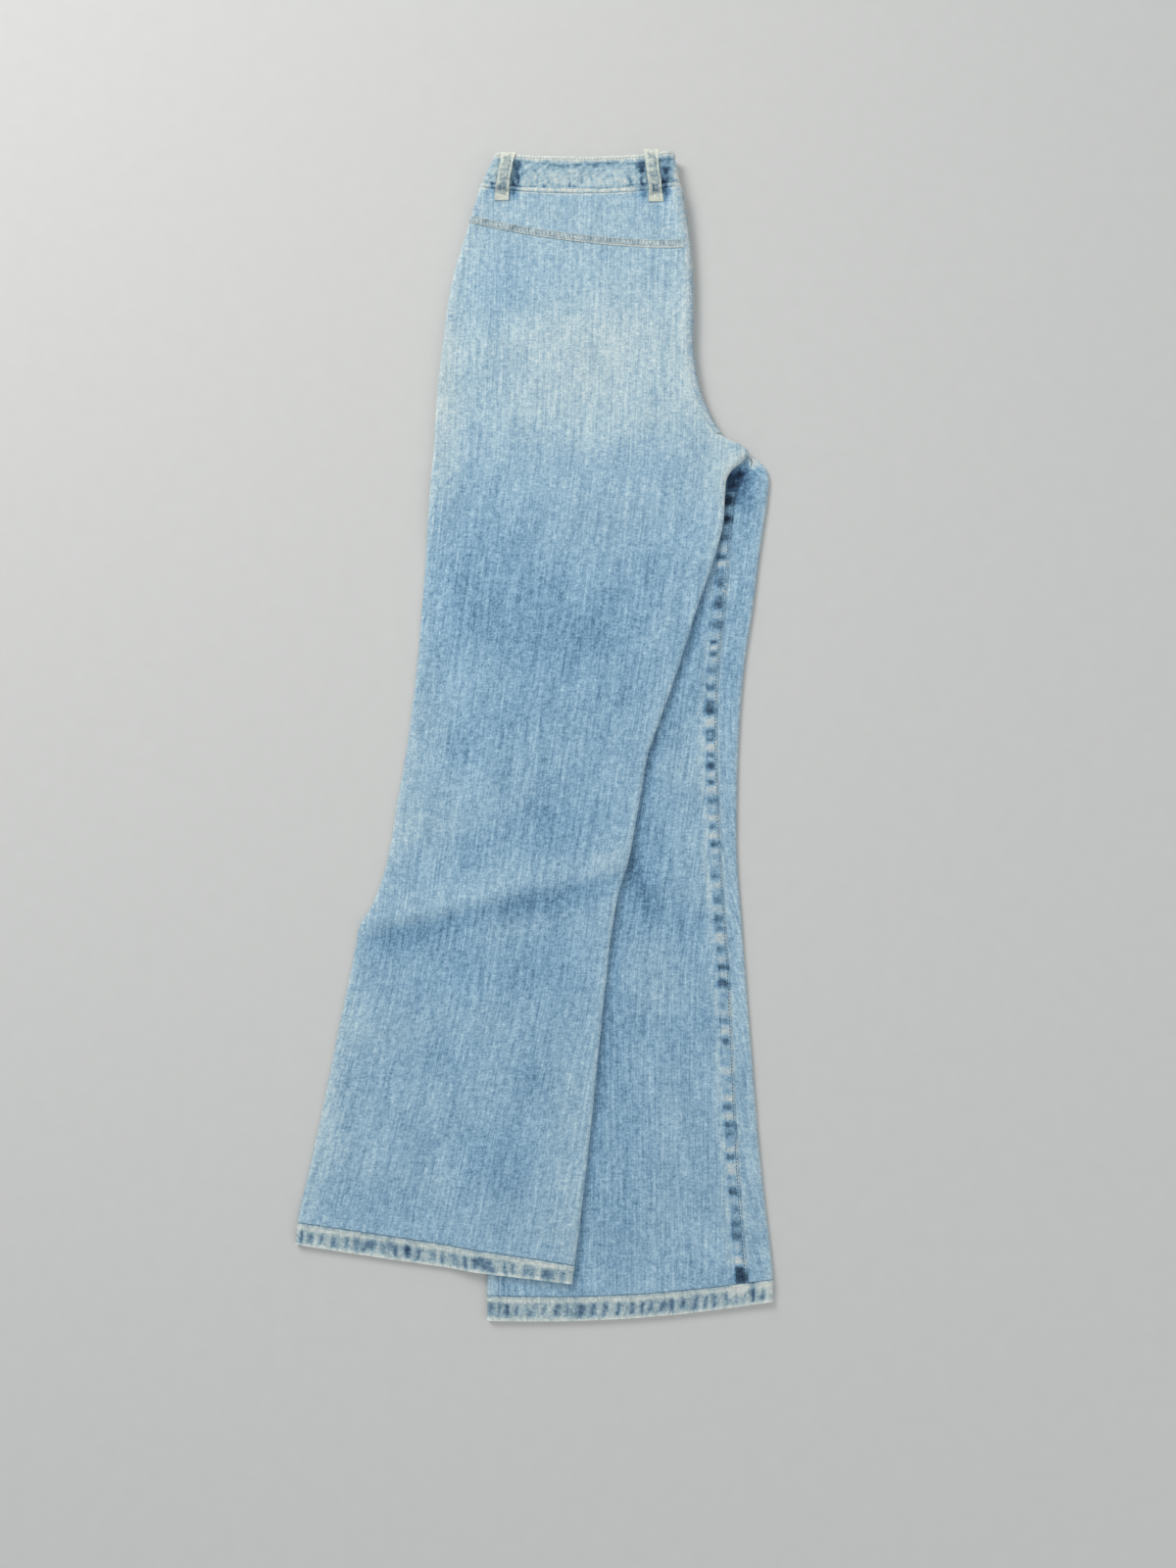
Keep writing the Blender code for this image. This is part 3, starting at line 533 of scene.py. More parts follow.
def clothPiece(name, node, slot, grid, thickness, tone, threads=None, ring=False, turned=0.0):
    rows, columns = grid.shape[:2]
    across, along = acrossOf(grid), alongOf(grid)
    u, v = threads or (across, along)
    numbers = np.arange(rows * columns).reshape(rows, columns)
    corners = (numbers[:-1, :-1], numbers[1:, :-1], numbers[1:, 1:], numbers[:-1, 1:])
    faces = np.stack([corner.ravel() for corner in corners], axis=1)
    mesh = bpy.data.meshes.new(name)
    mesh.from_pydata((grid.reshape(-1, 3) * mm).tolist(), [], faces.tolist())
    yarns = mesh.uv_layers.new(name="threads")
    uv = np.stack((u.ravel(), v.ravel()), axis=1)[faces.ravel()] * mm
    yarns.data.foreach_set("uv", uv.ravel().astype(np.float32))
    wash = mesh.attributes.new("wash", "FLOAT", "POINT")
    wash.data.foreach_set("value", tone.ravel().astype(np.float32))

    piece = bpy.data.objects.new(name, mesh)
    bpy.context.scene.collection.objects.link(piece)
    bpy.context.view_layer.objects.active = piece
    piece.select_set(True)
    if ring:  # the first and last columns are the same place
        bpy.ops.object.mode_set(mode="EDIT")
        bpy.ops.mesh.select_all(action="SELECT")
        bpy.ops.mesh.remove_doubles(threshold=samePlace)
        bpy.ops.object.mode_set(mode="OBJECT")
    wall = piece.modifiers.new("wall", "SOLIDIFY")
    wall.thickness = thickness * mm
    wall.offset = 0.0
    wall.use_even_offset = False
    bpy.ops.object.modifier_apply(modifier=wall.name)
    bpy.ops.object.shade_smooth_by_angle(angle=math.radians(smoothAngle))
    piece.select_set(False)

    diagonals = np.cross(grid[1:, 1:] - grid[:-1, :-1], grid[1:, :-1] - grid[:-1, 1:])
    area = np.linalg.norm(diagonals, axis=2).sum() / 2.0 * mm * mm
    flat = sorted((across[:, -1].max() * mm, along[-1].max() * mm))
    area *= (flat[0] + 2.0 * turned * mm) / flat[0]
    flat[0] += 2.0 * turned * mm  # both long edges of a felled seam are turned under
    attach(piece, "root")
    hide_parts(node)
    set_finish(piece, slot)
    dressed[node] = piece
    print(name, "cut", [round(size * 1000) for size in flat], "mm, area", round(area, 4), "m2,",
          len(piece.data.polygons), "faces")


edgeWear = {"fine": 0.05, "fineReach": 3.0, "broad": 0.09, "broadReach": 10.0}
# Tone by height: the hips and seat are paler from wear, and the lower legs are painted lighter to make up for
# the light falling off towards the hems
heightWashAndLight = (
    (-540, 0.61), (-420, 0.62), (-330, 0.605), (-230, 0.59), (-100, 0.58), (0, 0.575), (100, 0.57),
    (180, 0.595), (240, 0.635), (290, 0.665), (350, 0.685), (420, 0.695), (470, 0.70), (540, 0.70))


def washAndLightByHeight(y):  # the hips and seat are more worn than the legs
    heights, tones = zip(*heightWashAndLight)
    return np.interp(y, heights, tones)


def halfPiece(kind, half, slot, grid, thickness, tone, threads=None, ring=False):
    side = half.side.lower()
    clothPiece(kind + half.side + "Denim", kind + "_" + side, slot, grid, thickness, tone,
               threads, ring)


def sideColumn(steps):
    return 1 + steps.side // 2


def edgeColumn(steps):
    return 1 + steps.side + steps.across + steps.turn // 2


def faceColumns(steps):  # the face of a panel, between its folds
    return sideColumn(steps) + 2, edgeColumn(steps) - 2


def foldWear(grid, steps):  # pale along the side fold and the inner edge
    across, wear = acrossOf(grid), 0.0
    for column in (sideColumn(steps), edgeColumn(steps)):
        away = np.abs(across - across[:, column:column + 1])
        wear += edgeWear["fine"] * np.exp(-(away / edgeWear["fineReach"]) ** 2)
        wear += edgeWear["broad"] * np.exp(-away / edgeWear["broadReach"])
    return wear


rowSpacing = {"yoke": 1.6, "left": 3.0, "right": 3.2, "hem": 1.0, "waist": 1.0, "inseam": 1.4,
              "yokeSeam": 0.8, "seat": 2.4, "loops": 2.0}


def trimmedRows(table, first, last, spacing):  # stops a gap short of the seam above
    rows = rowsBetween(table, first, last, spacing)
    rows[0] = lowered(rows[0], cloth["gap"])
    return rows


def besideLine(line, y):  # x of a line that runs down the leg
    return np.interp(y, line[::-1, 1], line[::-1, 0])


# Painted shadow beside the belt loops, darker strips along the band, and pale worn spots
waistShadeAndWear = [Fade(*fade) for fade in (
    (-20, 515, 4.5, 15, -0.46), (-23, 497, 4, 8, -0.44), (-43, 499, 4, 5, -0.50),
    (97, 516, 5, 9, -0.40), (99, 497, 5, 9, -0.42), (120, 512, 5.5, 13, -0.42),
    (119, 496, 5.5, 9, -0.48), (60, 521, 20, 3, -0.14), (10, 519, 16, 3, -0.10),
    (30, 510, 14, 5, 0.06), (131, 508, 5, 16, 0.20), (-48, 510, 6, 14, 0.10),
)]
backLook = {"outward": 1.6, "unevenness": (Wave(0.45, 70, 1), Wave(0.2, 24, 2)), "underside": 0.6,
            "facesUp": 0.3, "puckers": 0.5, "endRun": 8.0}


def legBack(half, steps, rows, creases, fades):
    plain = sectionRows(backSection, half, rows, steps)
    normal = facing(plain, half.sign)
    x, y, up = plain[..., 0], plain[..., 1], normal[..., 2]
    outward = np.clip(up * half.sign * backLook["outward"], 0.0, 1.0)
    rise, creaseHighlightAndShade = creaseRelief(creases, x, y)
    rise += waves(backLook["unevenness"], x, y)
    tone = washAndLightByHeight(y) + creaseHighlightAndShade * outward + fadeTone(fades, x, y) + foldWear(plain, steps)
    if half is leftHalf:
        rise *= outward
    else:  # its underside rests on the floor
        rise = np.where(up > 0.0, 0.0, -backLook["underside"] * np.abs(rise))
        puckerTone = puckerRelief(inseamPuckers, y, besideLine(plain[:, -1], y) - x)[1]
        shownTone = backLook["puckers"] * puckerTone + fadeTone(rightWearAndShade, x, y)
        tone += np.where(up > backLook["facesUp"], shownTone, 0.0)
    along = alongOf(plain)
    rise *= ease(np.minimum(along, along[-1:] - along) / backLook["endRun"])
    halfPiece("back", half, "leg_denim", plain + normal * rise[..., None], cloth["denim"], tone,
              threadsOf(plain, *faceColumns(steps)))
    return plain


yokeLook = {"foldWear": 0.8, "lines": (Line(0.8, 1.3, 0, 0.20),), "mottle": (Wave(0.05, 16, 15),)}


def legYoke(half, steps, rows):
    yoke = sectionRows(backSection, half, rows, steps)
    x, y = yoke[..., 0], yoke[..., 1]
    tone = washAndLightByHeight(y) + yokeLook["foldWear"] * foldWear(yoke, steps) + fadeTone(waistShadeAndWear, x, y)
    tone += lineRelief(yokeLook["lines"], alongOf(yoke))[1] + waves(yokeLook["mottle"], x, y)
    halfPiece("yoke", half, "yoke_denim", yoke, cloth["denim"], tone,
              threadsOf(yoke, *faceColumns(steps)))


frontLook = {"wash": -0.01, "covered": 2.0, "coveredRun": 12.0, "unevenness": (Wave(0.3, 50, 4),),
             "shade": (Line(4.0, 7.0, 0, -0.07),), "puckerTone": 0.8, "puckerRise": 0.4,
             "lip": (1.3, 0.0, 0.3), "lipFrom": 214.0, "lipFromRun": 8.0, "lipTo": 244.0, "lipToRun": 4.0}


def legFront(half, steps, rows, inseam):
    look = frontLook
    front = sectionRows(frontSection, half, rows, steps)
    x, y = front[..., 0], front[..., 1]
    tone = washAndLightByHeight(y) + look["wash"]
    threads = threadsOf(front, 0, steps.front)
    if half is rightHalf:
        overlap = np.array([(row.edgeY, row.edgeX) for row in leftTable[:len(hipRows) - 2:-1]]).T
        beyond = x - np.interp(y, *overlap)  # from the left leg's edge, which lies over it
        rise, creaseHighlightAndShade = creaseRelief(rightCreases, x, y)
        rise += waves(look["unevenness"], x, y)
        rise *= ease((beyond - look["covered"]) / look["coveredRun"])
        puckerRise, puckerTone = puckerRelief(inseamPuckers, y, besideLine(inseam, y) - x)
        tone += creaseHighlightAndShade + fadeTone(rightWearAndShade, x, y) + look["puckerTone"] * puckerTone
        # painted shadow that the left leg's edge casts on this leg
        tone += lineRelief(look["shade"], beyond)[1]
        front = front + facing(front, 1.0) * (rise + look["puckerRise"] * puckerRise)[..., None]
        high = ease((y[:, -1] - look["lipFrom"]) / look["lipFromRun"])
        high *= ease((look["lipTo"] - y[:, -1]) / look["lipToRun"])
        front[:, -1] += np.outer(high, look["lip"])  # closes the joint with the back at the crotch
    halfPiece("front", half, "leg_denim", front, cloth["denim"], tone, threads)


# Along the hems: dark spots, and a worn block where the inseam meets the hem
hemFades = {
    "Left": [Fade(*fade) for fade in (
        (-145, -473, 5, 6, -0.26), (-129, -476, 4, 6, -0.30), (-114, -478, 4, 6, -0.34),
        (-50, -487, 4, 6, -0.28), (-180, -470, 14, 5, 0.05), (-10, -495, 14, 6, 0.05),
    )],
    "Right": [Fade(*fade) for fade in (
        (183, -503, 6, 4, -0.35), (181, -514, 7, 7, 0.45), (193, -511, 3, 8, -0.36),
        (40, -533, 6, 6, -0.24), (120, -526, 10, 6, -0.08), (205, -514, 7, 9, 0.16),
    )],
}
# top: a pale worn strip, a raised ridge, and painted shade along the joint at the hem's top edge; foot: the
# worn fold
hemLook = {"wash": 0.68, "mottle": (Wave(0.10, 8, 9), Wave(0.10, 3.4, 29)), "wave": (Wave(0.9, 11, 19),),
           "top": (Line(3.4, 1.9, 0, 0.19, 1), Line(3.4, 2.6, 0.3, 0), Line(0, 0.8, 0, -0.20)),
           "foot": (Line(0, 2.4, 0, 0.26),), "endRun": 2.0, "facesDown": -0.3}


def legHem(half, rows):
    look, grid = hemLook, []
    for row in rows:
        over = backSection(half, row, cloth["doubled"], hemSteps)
        under = frontSection(half, row, cloth["doubled"], hemSteps)
        ring = over + under[-2:0:-1] + over[:1]
        grid.append([(*onRow(row, reach), height) for reach, height in ring])
    hem = np.array(grid)
    normal = facing(hem, half.sign)
    x, y, up = hem[..., 0], hem[..., 1], normal[..., 2]
    s, d = acrossOf(hem), alongOf(hem)
    foot = d[-1:] - d
    rise, tone = puckerRelief(hemPuckers, s, d)
    topRise, topTone = lineRelief(look["top"], d, waves(look["wave"], s, 0.0 * s))
    rise = (rise + topRise) * ease(d / look["endRun"]) * ease(foot / look["endRun"])
    rise = np.where(up < look["facesDown"], -np.abs(rise), rise)  # nothing reaches below the floor
    tone += look["wash"] + waves(look["mottle"], s, d) + topTone + lineRelief(look["foot"], foot)[1]
    tone += fadeTone(hemFades[half.side], x, y) * (up > 0.0)
    hem = hem + normal * rise[..., None]
    halfPiece("hem", half, "hem_denim", hem, cloth["doubled"], tone, ring=True)
    return hem


def legCloth(half, steps, frontSteps, spacing, creases, fades):
    hemTop = len(half.table) - 2
    yokeRows = trimmedRows(half.table, waistSeam, yokeSeam, rowSpacing["yoke"])
    backRows = trimmedRows(half.table, yokeSeam, hemTop, spacing)
    hemRows = trimmedRows(half.table, hemTop, hemTop + 1, rowSpacing["hem"])
    plain = legBack(half, steps, backRows, creases, fades)
    legYoke(half, steps, yokeRows)
    legFront(half, frontSteps, yokeRows[:-1:2] + backRows, plain[:, -1])
    return plain, legHem(half, hemRows)


leftHem = legCloth(leftHalf, fineSteps, plainSteps, rowSpacing["left"], leftCreases, leftFades)[1]
rightPlain, rightHem = legCloth(rightHalf, legSteps, legSteps, rowSpacing["right"], undersideCreases, [])
print("leg panels, yokes and hems made")

waistLook = {
    "wash": 0.62, "longMottle": (Wave(0.15, 9, 7),), "long": 1.6,
    "fineMottle": (Wave(0.20, 3.2, 17),), "fine": 0.7,
    "unevenness": (Wave(0.3, 11, 6),), "waves": (Wave(1, 9, 8),), "swing": 1.3, "swingRun": 13.0,
    "top": (Line(2.5, 2.4, 0.7, 0), Line(6.6, 1.5, -0.5, 0, 0.5), Line(1.8, 3, 0, 0.50),
            Line(7.4, 1.2, 0, -0.18, 1)),
    "foot": (Line(1.6, 1.4, 0.6, 0), Line(4.6, 1, -0.4, 0, 1), Line(1.6, 1.3, 0, 0.26)),
    "groove": (Line(4.6, 0.9, 0, -0.34, 1),), "strength": 0.7, "strengthWaves": (Wave(0.6, 14, 27),),
    "endRun": 1.0, "hidden": 0.5,
}


def waistCloth():
    look = waistLook
    leftRows = rowsBetween(leftTable, waistTop, waistSeam, rowSpacing["waist"])
    rightRows = rowsBetween(rightTable, waistTop, waistSeam, rowSpacing["waist"])
    rows, leftColumns = [], 0
    for leftRow, rightRow in zip(leftRows, rightRows):
        path = []
        for half, row, section, cut in (
                (leftHalf, leftRow, frontSection, slice(None, 0, -1)),
                (leftHalf, leftRow, backSection, slice(None)),
                (rightHalf, rightRow, backSection, slice(-2, None, -1)),
                (rightHalf, rightRow, frontSection, slice(1, None))):
            points = section(half, row, cloth["doubled"], bandSteps)[cut]
            path += [(*onRow(row, across), height) for across, height in points]
            leftColumns = len(path) if half is leftHalf else leftColumns
        rows.append(path)
    band = np.array(rows)
    normal = facing(band, 1.0)
    x, y = band[..., 0], band[..., 1]
    s, d = acrossOf(band), alongOf(band)
    foot = d[-1:] - d
    onLeft = np.arange(band.shape[1])[None, :] < leftColumns
    wave = look["swing"] * np.sin(x / look["swingRun"]) + waves(look["waves"], x, 0.0 * x)
    rise, tone = puckerRelief(waistPuckers, x, -foot)
    topRise, topTone = lineRelief(look["top"], d, wave)
    footRise, footTone = lineRelief(look["foot"], foot, wave)
    rise += topRise + footRise + waves(look["unevenness"], x, y)
    tone += look["wash"] + topTone + footTone + fadeTone(waistShadeAndWear, x, y)
    tone += waves(look["longMottle"], x, y * look["long"]) + waves(look["fineMottle"], x, y * look["fine"])
    strength = look["strength"] + waves(look["strengthWaves"], x, 0.0 * x)
    tone += strength * lineRelief(look["groove"], foot, wave)[1]
    rise *= ease(foot / look["endRun"])
    rise = np.where(onLeft, rise, -look["hidden"] * np.abs(rise))
    band = band + normal * rise[..., None]
    clothPiece("waistbandDenim", "waistband", "waist_denim", band, cloth["doubled"], tone)
    return band, leftColumns


band, bandLeftColumns = waistCloth()


# Felled seams, raised off the panels that they are sewn on
def feltOn(grid, first, last=None):
    distance = (cloth["denim"] + cloth["fell"]) / 2.0 + cloth["gap"]
    return (grid + facing(grid, 1.0) * distance)[:, first:last]


fellLook = {"turned": 1.6, "near": 0.75, "nearRun": 2.2, "far": 0.6, "farRun": 1.2}


def sunkEdges(across, beyond):  # both edges dip, so that no hard step is seen
    near = 1.0 - ease(across / fellLook["nearRun"])
    far = 1.0 - ease((across[:, -1:] + beyond - across) / fellLook["farRun"])
    return -fellLook["near"] * near - fellLook["far"] * far


inseamLook = {"firstRow": 3, "steps": Steps(0, 0, 0, 0, 40, 14), "columns": 15, "beyond": 2.0,
              "wash": -0.01, "mottle": (Wave(0.05, 6, 21),), "lines": (Line(0, 1.6, 0, -0.06),),
              "lip": (1.7, 0.0, -1.0)}


def inseamCloth():  # on the inner edge of the front panel of the right leg
    look = inseamLook
    rows = rowsBetween(rightTable, len(hipRows) + look["firstRow"], len(rightTable) - 2, rowSpacing["inseam"])
    front = sectionRows(frontSection, rightHalf, rows, look["steps"])
    strip = feltOn(front, -look["columns"])
    x, y = strip[..., 0], strip[..., 1]
    d = besideLine(rightPlain[:, -1], y) - x
    rise, tone = puckerRelief(inseamPuckers, y, d)
    rise += sunkEdges(acrossOf(strip), look["beyond"])
    tone += washAndLightByHeight(y) + look["wash"] + fadeTone(rightWearAndShade, x, y) + waves(look["mottle"], x, y)
    tone += lineRelief(look["lines"], d)[1]
    strip = strip + facing(strip, 1.0) * rise[..., None]
    lip = strip[:, -1:] + np.array(look["lip"])  # covers the joint with the back panel
    strip = np.concatenate((strip, lip), axis=1)
    tone = np.concatenate((tone, tone[:, -1:]), axis=1)
    clothPiece("inseamRightDenim", "inseam_right", "seam_denim", strip, cloth["fell"], tone,
               turned=fellLook["turned"])
    return strip


yokeSpots = [Fade(*fade) for fade in (
    (-24, 460, 2.2, 3, -0.2), (-9, 458, 2, 2.5, -0.16), (14, 452, 2, 3, -0.16),
    (48, 449, 2.4, 3, -0.2), (58, 449, 2, 3, -0.16), (88, 447, 2.2, 2.5, -0.16),
    (116, 446, 2.4, 3, -0.2), (-50, 466, 3, 2.5, -0.1), (132, 446, 3, 2.5, -0.12),
)]
# lines: a raised middle, a painted highlight along the lower edge, and a darker line above it
yokeSeamLook = {"rows": 10, "columns": 4, "wash": 0.79, "mottle": (Wave(0.06, 7, 14),),
                "lines": (Line(3, 2, 0.25, 0), Line(6.2, 0.8, 0, 0.12), Line(4.9, 0.5, 0, -0.10)),
                "foot": 7.4, "footRun": 1.8, "footDip": 0.8}


def yokeSeamCloth():
    look = yokeSeamLook
    rows = trimmedRows(leftTable, yokeSeam, yokeSeam + 1, rowSpacing["yokeSeam"])[:look["rows"]]
    grid = sectionRows(backSection, leftHalf, rows, seamSteps)
    last = 1 + seamSteps.side + seamSteps.across + look["columns"]
    strip = feltOn(grid, sideColumn(seamSteps), last)
    x, y = strip[..., 0], strip[..., 1]
    d = alongOf(strip)
    rise, tone = puckerRelief(yokePuckers, x, d)
    lineRise, lineTone = lineRelief(look["lines"], d)
    rise += lineRise - look["footDip"] * (1.0 - ease((look["foot"] - d) / look["footRun"]))
    tone += look["wash"] + lineTone + fadeTone(yokeSpots, x, y) + waves(look["mottle"], x, y)
    strip = strip + facing(strip, 1.0) * rise[..., None]
    clothPiece("yokeSeamDenim", "yoke_seam_left", "seam_denim", strip, cloth["fell"], tone,
               turned=fellLook["turned"])
    return strip


seatLook = {"wash": 0.06, "beyond": 3.0, "mottle": (Wave(0.16, 3, 12),)}


def seatSeamCloth():  # on the back's own fold
    rows = trimmedRows(leftTable, waistSeam, len(hipRows) - 2, rowSpacing["seat"])
    grid = sectionRows(backSection, leftHalf, rows, fineSteps)
    seat = feltOn(grid, 1 + fineSteps.side + fineSteps.across + fineSteps.turn // 4)
    across = acrossOf(seat)
    seat = seat + facing(seat, 1.0) * sunkEdges(across, seatLook["beyond"])[..., None]
    y = seat[..., 1]
    tone = washAndLightByHeight(y) + seatLook["wash"] + waves(seatLook["mottle"], y, across)
    clothPiece("seatSeamDenim", "seat_seam", "seam_denim", seat, cloth["fell"], tone,
               turned=fellLook["turned"])
    return seat


inseamStrip, yokeStrip, seatStrip = inseamCloth(), yokeSeamCloth(), seatSeamCloth()
print("waistband and felled seams made")

# Belt loops: straps, tacked flat at both ends and standing off the waistband between them
loopLook = {
    "width": 13.6, "waist": 1.4, "cloth": 1.2, "rise": 1.6, "tack": 6.0, "clear": 0.4, "rows": 60,
    "columns": 18, "fray": 0.35, "frayRun": 2.7, "sway": 0.5, "swayRun": 9.0, "tuck": 0.5, "tuckRun": 2.0,
    "rim": 0.35, "rimPart": 0.1,
    "wash": 0.65, "edge": (Line(0, 2.0, 0, 0.18),), "mottle": 0.24, "mottleSize": 3.6,
    "inside": (Line(4.6, 1.8, 0, 1),), "dash": 4.6, "dashTone": -0.17, "dashWaves": (Wave(0.8, 5, 9),),
    "top": (Line(0, 4.5, 0, 0.40),), "foot": (Line(0, 4.4, 0, 0.46),), "hollow": (Line(10.0, 3.6, 0, -0.26),),
}
Loop = namedtuple("Loop", "name x topY lean length")
loops = [Loop("side", -28.9, 531.9, -5.9, 45.5), Loop("centre", 106.3, 534.4, 4.0, 50.0)]
waistRows = rowsBetween(leftTable, waistTop, yokeSeam, rowSpacing["loops"])


def waistHeight(x, y):  # top of the left half, on the waistband or on the yoke
    def across(row):
        return (x - row.sideX) * rowWidth(row) / (row.edgeX - row.sideX)

    row = min(waistRows, key=lambda row: abs(onRow(row, across(row))[1] - y))
    seam = hipRows[waistSeam]
    thickness = cloth["doubled"] if y > onRow(seam, across(seam))[1] - 1.0 else cloth["denim"]
    return leftBack(row, across(row)) + thickness / 2.0


def loopGrids(loop, rng):  # above the left half, and flat under the right half
    look, standing, flatOne = loopLook, [], []
    swing = rng.uniform(0.0, 6.0)
    for share in np.linspace(0.0, 1.0, look["rows"] + 1):
        along = loop.length * share
        away = min(along, loop.length - along)
        rise = look["rise"] * ease((away - look["tack"]) / look["tack"])
        width = look["width"] - look["waist"] * ease(away / (2.0 * look["tack"]))
        width += look["fray"] * math.sin(along / look["frayRun"] + swing)
        middle = loop.x + loop.lean * share + look["sway"] * math.sin(along / look["swayRun"] + swing)
        y = loop.topY - along
        low = waistHeight(middle, y) + look["clear"] + look["cloth"] / 2.0 + rise
        low -= look["tuck"] * math.exp(-(away / look["tuckRun"]) ** 2)
        above, below = [], []
        for across in np.linspace(-0.5, 0.5, look["columns"] + 1):
            rim = look["rim"] * math.exp(-((0.5 - abs(across)) / look["rimPart"]) ** 2)
            above.append((middle + width * across, y, low + rim))
            below.append((middle + width * across, y, look["cloth"] / 2.0))
        standing.append(above)
        flatOne.append(below)
    return np.array(standing), np.array(flatOne)


def loopCloth(loop, side, grid):
    look = loopLook
    s, d = alongOf(grid), acrossOf(grid)
    edge, foot = np.minimum(d, d[:, -1:] - d), loop.length - s
    tone = look["wash"] + lineRelief(look["edge"], edge)[1]
    tone += look["mottle"] * softNoise(s, d, look["mottleSize"], loop.x)
    inside = lineRelief(look["inside"], edge)[1]
    dashes = np.maximum(np.cos(s * 2.0 * math.pi / look["dash"]) + waves(look["dashWaves"], s, d), 0.0)
    tone += inside * (look["dashTone"] * dashes ** 2 + lineRelief(look["hollow"], foot)[1])
    tone += lineRelief(look["top"], s)[1] + lineRelief(look["foot"], foot)[1]
    clothPiece("beltLoop" + loop.name.capitalize() + side, "belt_loop_" + loop.name + "_" + side.lower(),
               "loop_denim", grid, look["cloth"], tone)


loopDice = random.Random(3)
for loop in loops:
    for side, grid in zip(("Left", "Right"), loopGrids(loop, loopDice)):
        loopCloth(loop, side, grid)
print("belt loops made")


# Stitches: one stitch is modelled, and the rows are copies of it
stitchShape = {"segments": 8, "rings": 6, "height": 0.8, "ahead": 0.8, "perColumn": 3, "perRow": 2}


def oneStitch(length, width):
    bpy.ops.mesh.primitive_uv_sphere_add(
        segments=stitchShape["segments"], ring_count=stitchShape["rings"], radius=0.5)
    model = bpy.context.object
    points = np.array([vertex.co for vertex in model.data.vertices])
    order = (2, 0, 1)  # its poles lie along the seam
    points = points[:, order] * np.array((length, width, width * stitchShape["height"]))
    faces = [list(face.vertices) for face in model.data.polygons]
    bpy.data.objects.remove(model, do_unlink=True)
    return points, faces


def valuesAt(marks, run, values):
    return np.stack([np.interp(marks, run, values[:, axis]) for axis in range(3)], axis=1)


def unit(vectors):
    return vectors / np.linalg.norm(vectors, axis=1, keepdims=True)


def stitchRows(name, slot, paths, look):
    points, faces = oneStitch(look["length"], look["width"])
    allPoints, allFaces = [], []
    for path, normal in paths:
        run = lengthsAlong(path, 0)
        marks = np.arange(look["pitch"], run[-1] - look["pitch"] / 2.0, look["pitch"])
        place = valuesAt(marks, run, path)
        ahead = unit(valuesAt(marks + stitchShape["ahead"], run, path) - place)
        aside = unit(np.cross(valuesAt(marks, run, normal), ahead))
        for at, x, y, z in zip(place, ahead, aside, np.cross(ahead, aside)):
            first = len(allPoints) * len(points)
            allFaces += [[corner + first for corner in face] for face in faces]
            allPoints.append(points @ np.stack((x, y, z)) + at + z * look["sink"])
    mesh = bpy.data.meshes.new(name)
    mesh.from_pydata((np.concatenate(allPoints) * mm).tolist(), [], allFaces)
    mesh.shade_smooth()
    piece = bpy.data.objects.new(name, mesh)
    bpy.context.scene.collection.objects.link(piece)
    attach(piece, "root")
    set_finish(piece, slot)
    dressed[name] = piece


def surfacePath(grid, sign, rows, columns, thickness):  # on the outer face, between grid points
    row = np.floor(rows).astype(int).clip(0, grid.shape[0] - 2)
    column = np.floor(columns).astype(int).clip(0, grid.shape[1] - 2)
    r, c = (rows - row)[:, None], (columns - column)[:, None]

    def blend(values):
        first = values[row, column] * (1 - c) + values[row, column + 1] * c
        second = values[row + 1, column] * (1 - c) + values[row + 1, column + 1] * c
        return first * (1 - r) + second * r

    upward = blend(facing(grid, sign))
    return blend(grid) + upward * thickness / 2.0, upward


def downLine(grid, sign, down, first, last):  # on doubled cloth or a fell, this far from the first row
    columns = np.linspace(first, last, stitchShape["perColumn"] * (last - first) + 1)
    along = alongOf(grid)
    rows = np.array([np.interp(down, along[:, round(column)], np.arange(len(grid))) for column in columns])
    return surfacePath(grid, sign, rows, columns, cloth["fell"] if grid is yokeStrip else cloth["doubled"])


def edgeLine(grid, fromEdge, first):  # on a fell, this far from the last column
    last = len(grid) - 2
    rows = np.linspace(first, last, stitchShape["perRow"] * (last - first) + 1)
    across = acrossOf(grid)
    reaches = [across[round(row)] for row in rows]
    columns = [np.interp(reach[-1] - fromEdge, reach, np.arange(len(reach))) for reach in reaches]
    return surfacePath(grid, 1.0, rows, np.array(columns), cloth["fell"])


seatThread = {"length": 2.5, "width": 0.62, "pitch": 3.2, "sink": 0.05, "fromEdge": 3.0}
fineThread = {"length": 2.2, "width": 0.5, "pitch": 3.0, "sink": 0.02}
inseamThread = {"length": 2.2, "width": 0.8, "pitch": 3.0, "sink": -0.05, "fromEdge": 3.3}
stitchLines = {"yoke": (1.2, 5.4), "waistTop": 2.6, "waistFoot": 3.0, "hem": 2.4}  # off the edge
bandFirst = bandSteps.front + bandSteps.frontTail + 1 + sideColumn(bandSteps)
bandLast = bandLeftColumns - bandSteps.tail - 4
bandDeep = alongOf(band)[-1].mean()
stitchRows("inseamStitches", "seam_denim", [edgeLine(inseamStrip, inseamThread["fromEdge"], 2)], inseamThread)
stitchRows("yokeStitches", "seam_denim",
           [downLine(yokeStrip, 1.0, down, 1, yokeStrip.shape[1] - 2) for down in stitchLines["yoke"]],
           fineThread)
stitchRows("seatStitches", "seam_denim", [edgeLine(seatStrip, seatThread["fromEdge"], 1)], seatThread)
stitchRows("waistStitches", "waist_denim",
           [downLine(band, 1.0, down, bandFirst, bandLast)
            for down in (stitchLines["waistTop"], bandDeep - stitchLines["waistFoot"])], fineThread)
stitchRows("hemStitches", "hem_denim",
           [downLine(hem, half.sign, stitchLines["hem"], 1, hem.shape[1] - 2)
            for hem, half in ((leftHem, leftHalf), (rightHem, rightHalf))], fineThread)
